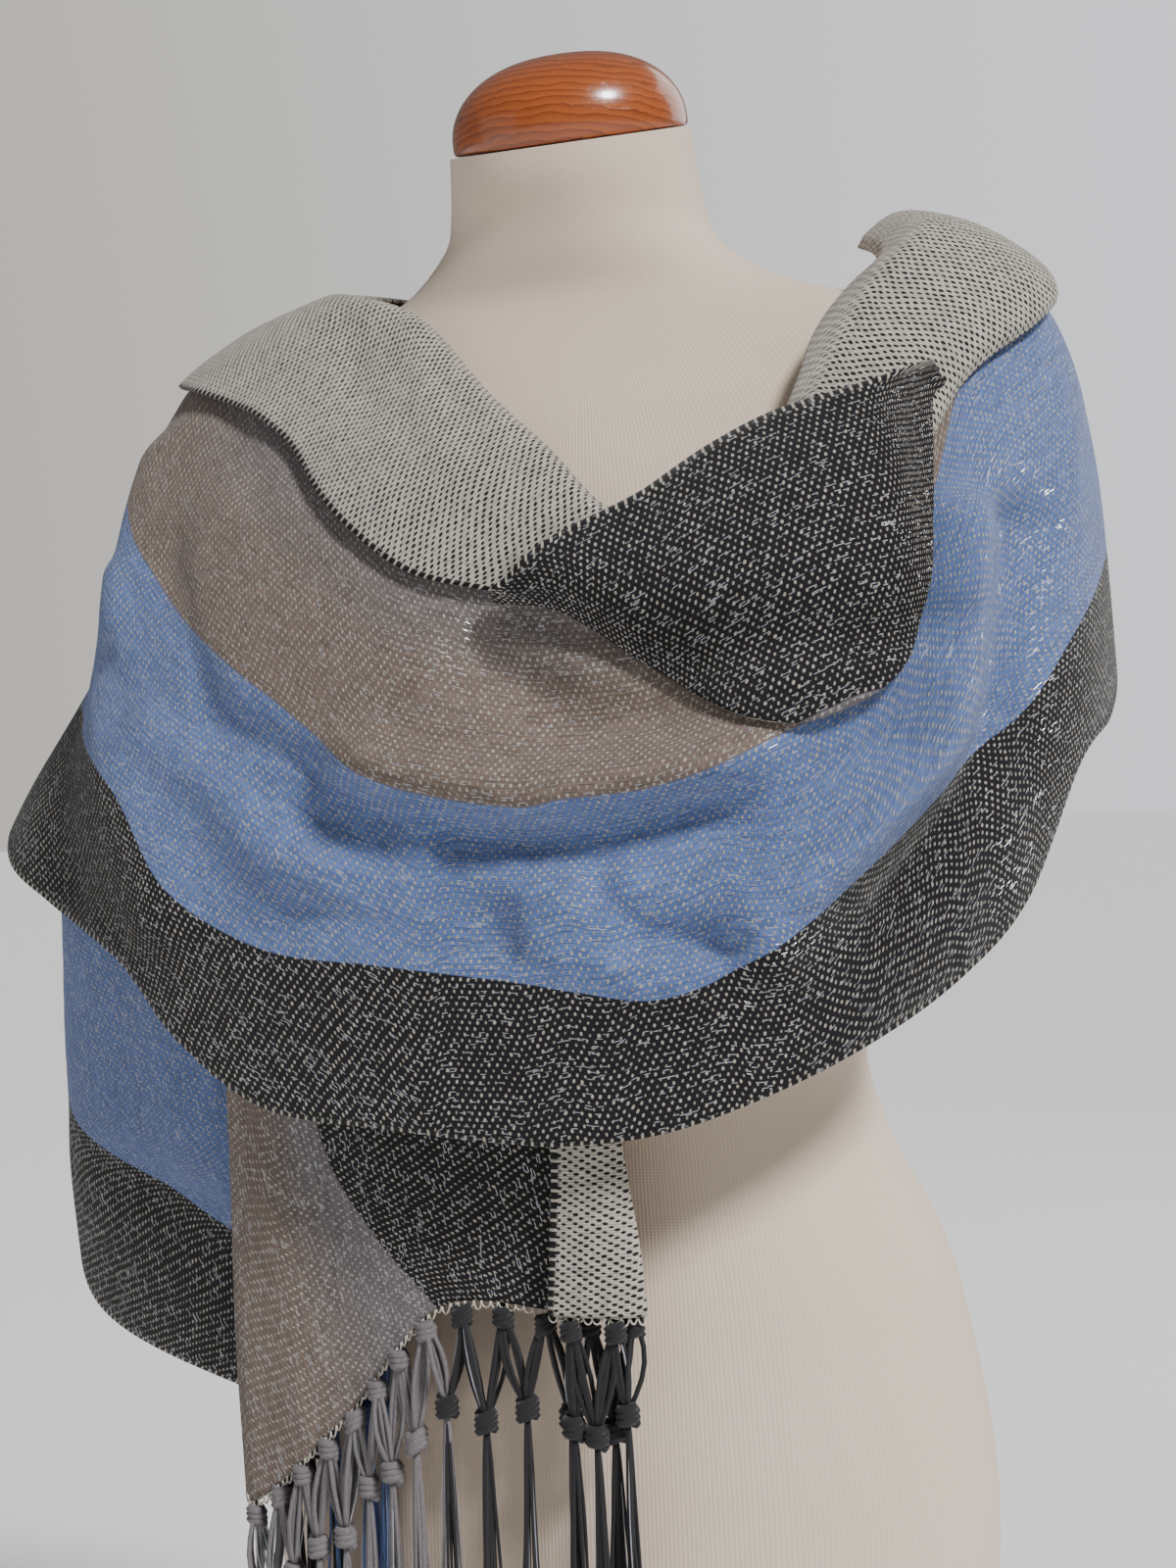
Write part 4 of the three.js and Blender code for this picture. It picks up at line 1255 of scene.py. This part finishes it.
@dataclass
class Fringe:
    """Knotted fringe under an edge of the stole: two rows of knots and loose tassels."""

    name: str
    node: str
    edge: np.ndarray
    across_stole: np.ndarray
    knots: int
    seed: int
    drop: float = 44.0
    tail: float = 104.0
    yarns: int = 14
    first_knot: float = 4.2
    second_knot: float = 4.6
    loop_yarn: float = 0.42
    bright_share: float = 0.36

    def build(self, finishes: Finishes) -> bpy.types.Object:
        """Knots and hangs the yarns.

        Args:
            finishes: the part's materials.

        Returns:
            The finished fringe.
        """
        self.luck = np.random.default_rng(self.seed)
        self.strands = Strands()
        lengths = np.linalg.norm(np.diff(self.edge, axis=0), axis=1)
        self.steps = np.concatenate([[0], np.cumsum(lengths)])
        roots = [self._along((i + 0.5) / self.knots) for i in range(self.knots)]
        dyes = [self._dyes((i + 0.5) / self.knots) for i in range(self.knots)]
        seconds = []
        for i in range(self.knots + 1):
            a, b = roots[max(i - 1, 0)], roots[min(i, self.knots - 1)]
            seconds.append((a + b) / 2 - np.array([0, 0, self.drop + 5 * math.sin(i * 2.4)]))
        self._heading()
        for i, root in enumerate(roots):
            self._knot(root - np.array([0, 0, 4.0]), dyes[i], self.first_knot)
            self._leg(root, seconds[i], dyes[i])
            self._leg(root, seconds[i + 1], dyes[i])
        for i, second in enumerate(seconds):
            mixed = dyes[max(i - 1, 0)] + dyes[min(i, self.knots - 1)]
            self._knot(second, mixed, self.second_knot)
            self._tassel(i, second, mixed)
        piece = self.strands.piece(self.name)
        dress(piece, self.node, "fringe_yarn", *(finishes.yarns[dye] for dye in Dye))
        return piece

    def _along(self, share: float) -> np.ndarray:
        """Place under the edge at a share of its length."""
        goal = share * self.steps[-1]
        place = np.array([np.interp(goal, self.steps, self.edge[:, k]) for k in range(3)])
        return place - np.array([0, 0, 2.0])

    def _dyes(self, share: float) -> list[Dye]:
        """Yarn colours at a share of the edge's length."""
        place = float(np.interp(share * self.steps[-1], self.steps, self.across_stole))
        if place < TAUPE_START or place > LOWER_START:
            return [Dye.BLACK] * 5 + [Dye.SILVER]
        if place > BLUE_START:
            return [Dye.BLUE] * 6 + [Dye.SILVER]
        return [Dye.GREY] * 5 + [Dye.SILVER]

    def _pick(self, dyes: list[Dye]) -> Dye:
        """One of the colours, by chance."""
        return dyes[int(self.luck.integers(len(dyes)))]

    def _heading(self) -> None:
        """Small loops of the weft along the edge between the knots."""
        loops = self.knots * 5
        t = np.linspace(0, 1, 7)
        for k in range(loops):
            middle = (k + 0.5) / loops
            half = 0.42 / loops * self.luck.uniform(0.8, 1.3)
            path = np.array([self._along(float(s)) for s in middle + half * np.cos(math.pi * t)])
            path[:, 2] += 2.2 - np.sin(math.pi * t) * self.luck.uniform(2.0, 4.2)
            self.strands.lay(path, self.loop_yarn, Dye.NATURAL)

    def _knot(self, at: np.ndarray, dyes: list[Dye], radius: float) -> None:
        """Tight knot of two yarns wound round the rest."""
        lean = self.luck.uniform(-0.5, 0.5)
        for k in range(2):
            turns = np.linspace(0, 1, 15)
            angle = turns * math.tau * 1.5 + k * math.pi + lean
            ring = np.stack([np.cos(angle), np.sin(angle), (turns - 0.5) * 2.3], axis=1) * radius * 0.72
            ring[:, 2] += ring[:, 0] * lean
            self.strands.lay(at + ring, radius * 0.48, dyes[k])

    def _leg(self, start: np.ndarray, end: np.ndarray, dyes: list[Dye]) -> None:
        """Yarns from a first knot to a second one."""
        t = np.linspace(0, 1, 7)[:, None]
        for _ in range(self.yarns // 2):
            bow = self.luck.normal(0, 2.0, 3) * np.array([1, 1, 0.3])
            path = start + (end - start) * t + bow * np.sin(math.pi * t)
            self._yarn(path, self.luck.uniform(0.95, 1.25), self._pick(dyes))

    def _tassel(self, index: int, at: np.ndarray, dyes: list[Dye]) -> None:
        """Loose ends under a second knot."""
        t = np.linspace(0, 1, 11)[:, None]
        for k in range(self.yarns):
            angle = self.luck.uniform(0, math.tau)
            dye = self._pick(dyes)
            stray = 1.5 if dye is Dye.SILVER else 1.0
            away = np.array([math.cos(angle), math.sin(angle), 0]) * self.luck.uniform(1.0, 5.5) * stray
            length = self.tail * self.luck.uniform(0.86, 1.0)
            wave = self.luck.uniform(0.4, 1.4) * np.sin(t * self.luck.uniform(4, 9) + k)
            side = np.array([math.cos(angle * 3 + 1), math.sin(angle * 3 + 1), 0])
            path = at + away * t**0.7 - np.array([0, 0, length]) * t + side * wave * t
            self._yarn(path, self.luck.uniform(0.8, 1.1), dye, 0.6)

    def _yarn(self, path: np.ndarray, radius: float, dye: Dye, tip: float = 1.0) -> None:
        """One yarn, much thinner where it is the bright thread."""
        share = self.bright_share if dye is Dye.SILVER else 1.0
        self.strands.lay(path, radius * share, dye, tip)


class Rings:
    """A closed turned or lofted form, stacked ring by ring from a circle."""

    def __init__(self, name: str, corners: int) -> None:
        """Keeps the name and the number of corners of a ring."""
        self.name = name
        self.corners = corners

    def build(self, rings: list[np.ndarray]) -> bpy.types.Object:
        """Extrudes a filled circle once for each ring and sets each ring in its place.

        Args:
            rings: points of each ring in metres, from the bottom, anticlockwise from +X.

        Returns:
            The closed form.
        """
        piece = start_mesh(
            lambda: bpy.ops.mesh.primitive_circle_add(vertices=self.corners, radius=1, fill_type="NGON"),
            self.name,
        )
        bpy.ops.object.mode_set(mode="EDIT")
        for _ in rings[1:]:
            bpy.ops.mesh.extrude_region_move(TRANSFORM_OT_translate={"value": (0, 0, 1)})
        bpy.ops.mesh.select_all(action="SELECT")
        bpy.ops.mesh.normals_make_consistent(inside=False)
        bpy.ops.object.mode_set(mode="OBJECT")
        for vertex in piece.data.vertices:
            turn = math.atan2(vertex.co.y, vertex.co.x) % math.tau
            corner = round(turn / math.tau * self.corners) % self.corners
            vertex.co = rings[round(vertex.co.z)][corner]
        piece.data.update()
        bpy.ops.object.shade_smooth_by_angle(angle=math.radians(40))
        return piece


@dataclass(frozen=True)
class DressForm:
    """Limbless padded form on a pole with a round foot, under a wooden neck cap."""

    tip: float = 17.0
    neck_low: float = 880.0
    corners: int = 128
    step: float = 6.0
    cap_radius: float = 56.0
    cap_height: float = 40.0
    cap_rim: float = 5.0
    cap_arcs: int = 22
    gap: float = 0.4
    foot_radius: float = 150.0
    foot_edge: float = 12.0
    hub: float = 26.0
    hub_height: float = 34.0
    pole: float = 17.0

    def build(self, finishes: Finishes) -> None:
        """Makes the form, its cap, its pole and its foot.

        Args:
            finishes: the part's materials.
        """
        dress(self._torso(), "torso", "jersey", finishes.jersey)
        dress(self._cap(), "neck_cap", "cap_wood", finishes.cap)
        dress(self._pole(), "pole", "stand_wood", finishes.stand)
        dress(self._foot(), "foot", "stand_wood", finishes.stand)

    def _torso(self) -> bpy.types.Object:
        """Padded form as a loft of rounded sections, with its neck tipped forward."""
        low, high = FORM.ups[0], FORM.ups[-1]
        levels = np.linspace(low, high, int((high - low) / self.step))
        angle = np.arange(self.corners) * math.tau / self.corners
        c, s = np.cos(angle), np.sin(angle)
        rings = []
        for up in levels:
            half, front, back, shift = FORM.at(np.array(up))
            depth = np.where(s < 0, front, back) * np.sign(s) * np.abs(s) ** (2 / ROUNDNESS)
            side = half * np.sign(c) * np.abs(c) ** (2 / ROUNDNESS)
            t = min(max((up - self.neck_low) / (high - self.neck_low), 0), 1)
            rise = math.tan(math.radians(self.tip)) * t * t * (3 - 2 * t)
            rings.append(np.stack([side, shift + depth, up + depth * rise], axis=1) * MM)
        return Rings("form_torso", self.corners).build(rings)

    def _turned(self, name: str, profile: list[tuple[float, float]], place: Matrix) -> bpy.types.Object:
        """Turned piece from the radius and height of each ring.

        Args:
            name: name of the piece.
            profile: radius and height of each ring, from the bottom.
            place: where it goes, in metres.

        Returns:
            The piece.
        """
        angle = np.arange(self.corners) * math.tau / self.corners
        rings = []
        for radius, up in profile:
            ring = [Vector((radius * math.cos(a), radius * math.sin(a), up)) * MM for a in angle]
            rings.append([place @ v for v in ring])
        return Rings(name, self.corners).build(rings)

    def _cap(self) -> bpy.types.Object:
        """Domed wooden cap on the neck."""
        profile = [(self.cap_radius - 2, 0), (self.cap_radius - 0.6, 0.6), (self.cap_radius, 2)]
        profile.append((self.cap_radius, self.cap_rim))
        for k in range(1, self.cap_arcs):
            angle = math.radians(k * 90 / self.cap_arcs)
            rise = self.cap_rim + (self.cap_height - self.cap_rim) * math.sin(angle)
            profile.append((self.cap_radius * math.cos(angle) ** 0.85, rise))
        profile.append((0.4, self.cap_height))
        neck = Vector((0, FORM.values[-1][3], FORM.ups[-1] + self.gap)) * MM
        place = Matrix.Translation(neck) @ Matrix.Rotation(math.radians(self.tip), 4, "X")
        return self._turned("form_neck_cap", profile, place)

    def _pole(self) -> bpy.types.Object:
        """Straight wooden pole under the form."""
        low, high = self.hub_height + self.gap, FORM.ups[0] - self.gap
        profile = [(self.pole - 1, low), (self.pole, low + 1)]
        profile += [(self.pole, high - 1), (self.pole - 1, high)]
        return self._turned("stand_pole", profile, Matrix.Identity(4))

    def _foot(self) -> bpy.types.Object:
        """Round wooden foot with a turned hub."""
        radius, edge, hub = self.foot_radius, self.foot_edge, self.hub
        profile = [(radius - 2, 0), (radius - 0.6, 0.6), (radius, 2), (radius, edge - 2)]
        profile += [(radius - 1.2, edge - 0.6), (radius - 4, edge), (hub + 30, edge + 5)]
        profile += [(hub + 14, edge + 6.6), (hub + 6, edge + 9), (hub + 2, edge + 11), (hub, edge + 14)]
        profile += [(hub - 1.5, self.hub_height - 3), (hub - 3, self.hub_height)]
        return self._turned("stand_foot", profile, Matrix.Identity(4))


@dataclass(frozen=True)
class Studio:
    """Pale floor, soft lights and the camera at the photograph's angle."""

    azimuth: float = 20.0
    roll: float = -2.1
    distance: float = 1050.0
    aim_up: float = 636.0
    aim_side: float = -7.0
    focal: float = 2234.0
    frame_height: float = 1600.0
    sensor: float = 36.0
    chest: float = 0.65

    def build(self) -> None:
        """Makes the camera, the lights, the floor and the surroundings."""
        self._camera()
        self._floor()
        self._lamp("SUN", "window", (1450, -850, 2300), 3.9).angle = math.radians(12.0)
        self._lamp("AREA", "fill", (-2100, -1500, 1300), 4.0).size = 1.8
        self._lamp("AREA", "back", (900, 1900, 1900), 14.0).size = 1.6
        self._world()

    def _world(self) -> None:
        """Surroundings that look paler on one side and light the form softly."""
        world = bpy.data.worlds.new("studio")
        world.use_nodes = True
        g = Graph(world.node_tree)
        parts = g.add("ShaderNodeSeparateXYZ")
        g.put(parts.inputs[0], g.add("ShaderNodeTexCoord").outputs["Generated"])
        sky = world.node_tree.nodes["Background"]
        side = g.range(parts.outputs[0], -0.75, 0.05)
        tone = g.blend(side, (0.56, 0.53, 0.475, 1), (1.0, 1.02, 1.07, 1))
        seen = g.add("ShaderNodeLightPath").outputs["Is Camera Ray"]
        g.put(sky.inputs[0], g.blend(seen, (0.92, 0.92, 0.94, 1), tone))
        g.put(sky.inputs[1], g.math("MULTIPLY_ADD", seen, 0.83, 0.17))
        bpy.context.scene.world = world

    def _camera(self) -> None:
        """Camera that looks at the form from a little to its left."""
        a, roll = math.radians(self.azimuth), math.radians(self.roll)
        right = Vector((math.cos(a), math.sin(a), 0))
        look = Vector((-math.sin(a), math.cos(a), 0))
        level = Vector((0, 0, 1))
        side = right * math.cos(roll) + level * math.sin(roll)
        top = level * math.cos(roll) - right * math.sin(roll)
        aim = Vector((0, 0, self.aim_up)) + side * self.aim_side
        bpy.ops.object.camera_add()
        camera = bpy.context.active_object
        camera.name = "photo_camera"
        camera.data.sensor_fit = "VERTICAL"
        camera.data.sensor_height = self.sensor
        camera.data.lens = self.focal / self.frame_height * self.sensor
        camera.data.clip_start = 0.02
        turn = Matrix((side, top, -look)).transposed().to_4x4()
        camera.matrix_world = Matrix.Translation((aim - look * self.distance) * MM) @ turn
        bpy.context.scene.camera = camera

    def _lamp(self, kind: str, name: str, place: tuple, power: float) -> bpy.types.Light:
        """Light that looks at the form's chest.

        Args:
            kind: Blender's name of its kind.
            name: its own name.
            place: where it stands, in millimetres.
            power: its strength in its kind's own unit.

        Returns:
            Its data, for its size or its angle.
        """
        at = Vector(place) * MM
        bpy.ops.object.light_add(type=kind, location=at)
        lamp = bpy.context.active_object
        lamp.name = name
        lamp.data.energy = power
        lamp.rotation_euler = (Vector((0, 0, self.chest)) - at).to_track_quat("-Z", "Y").to_euler()
        return lamp.data

    def _floor(self) -> None:
        """Plain pale floor."""
        floor = start_mesh(
            lambda: bpy.ops.mesh.primitive_circle_add(vertices=96, radius=30, fill_type="NGON"),
            "floor",
        )
        material = bpy.data.materials.new("floor_pale")
        material.use_nodes = True
        surface = material.node_tree.nodes["Principled BSDF"]
        surface.inputs["Base Color"].default_value = (0.93, 0.93, 0.925, 1)
        surface.inputs["Roughness"].default_value = 0.8
        floor.data.materials.append(material)


def main() -> None:
    """Builds the stole, its fringes, the dress form and the studio."""
    logging.basicConfig(level=logging.INFO, format="%(name)s %(message)s")
    finishes = Finishes()
    shapes = {}
    for stretch in stretches():
        stretch.build(finishes)
        shapes[stretch.node] = stretch
    edges = (
        ("front_fringe", "front_end", 0, 15),
        ("flare_fringe", "left_flare", -1, 5),
        ("back_fringe", "back_end", -1, 14),
    )
    for seed, (node, cloth, row, knots) in enumerate(edges):
        shape = shapes[cloth]
        edge, across = shape.points[row], shape.across_stole[row]
        fringe = Fringe("stole_" + node, node, edge, across, knots, seed + 4)
        fringe.build(finishes)
    DressForm().build(finishes)
    Studio().build()


if __name__ == "__main__":
    main()
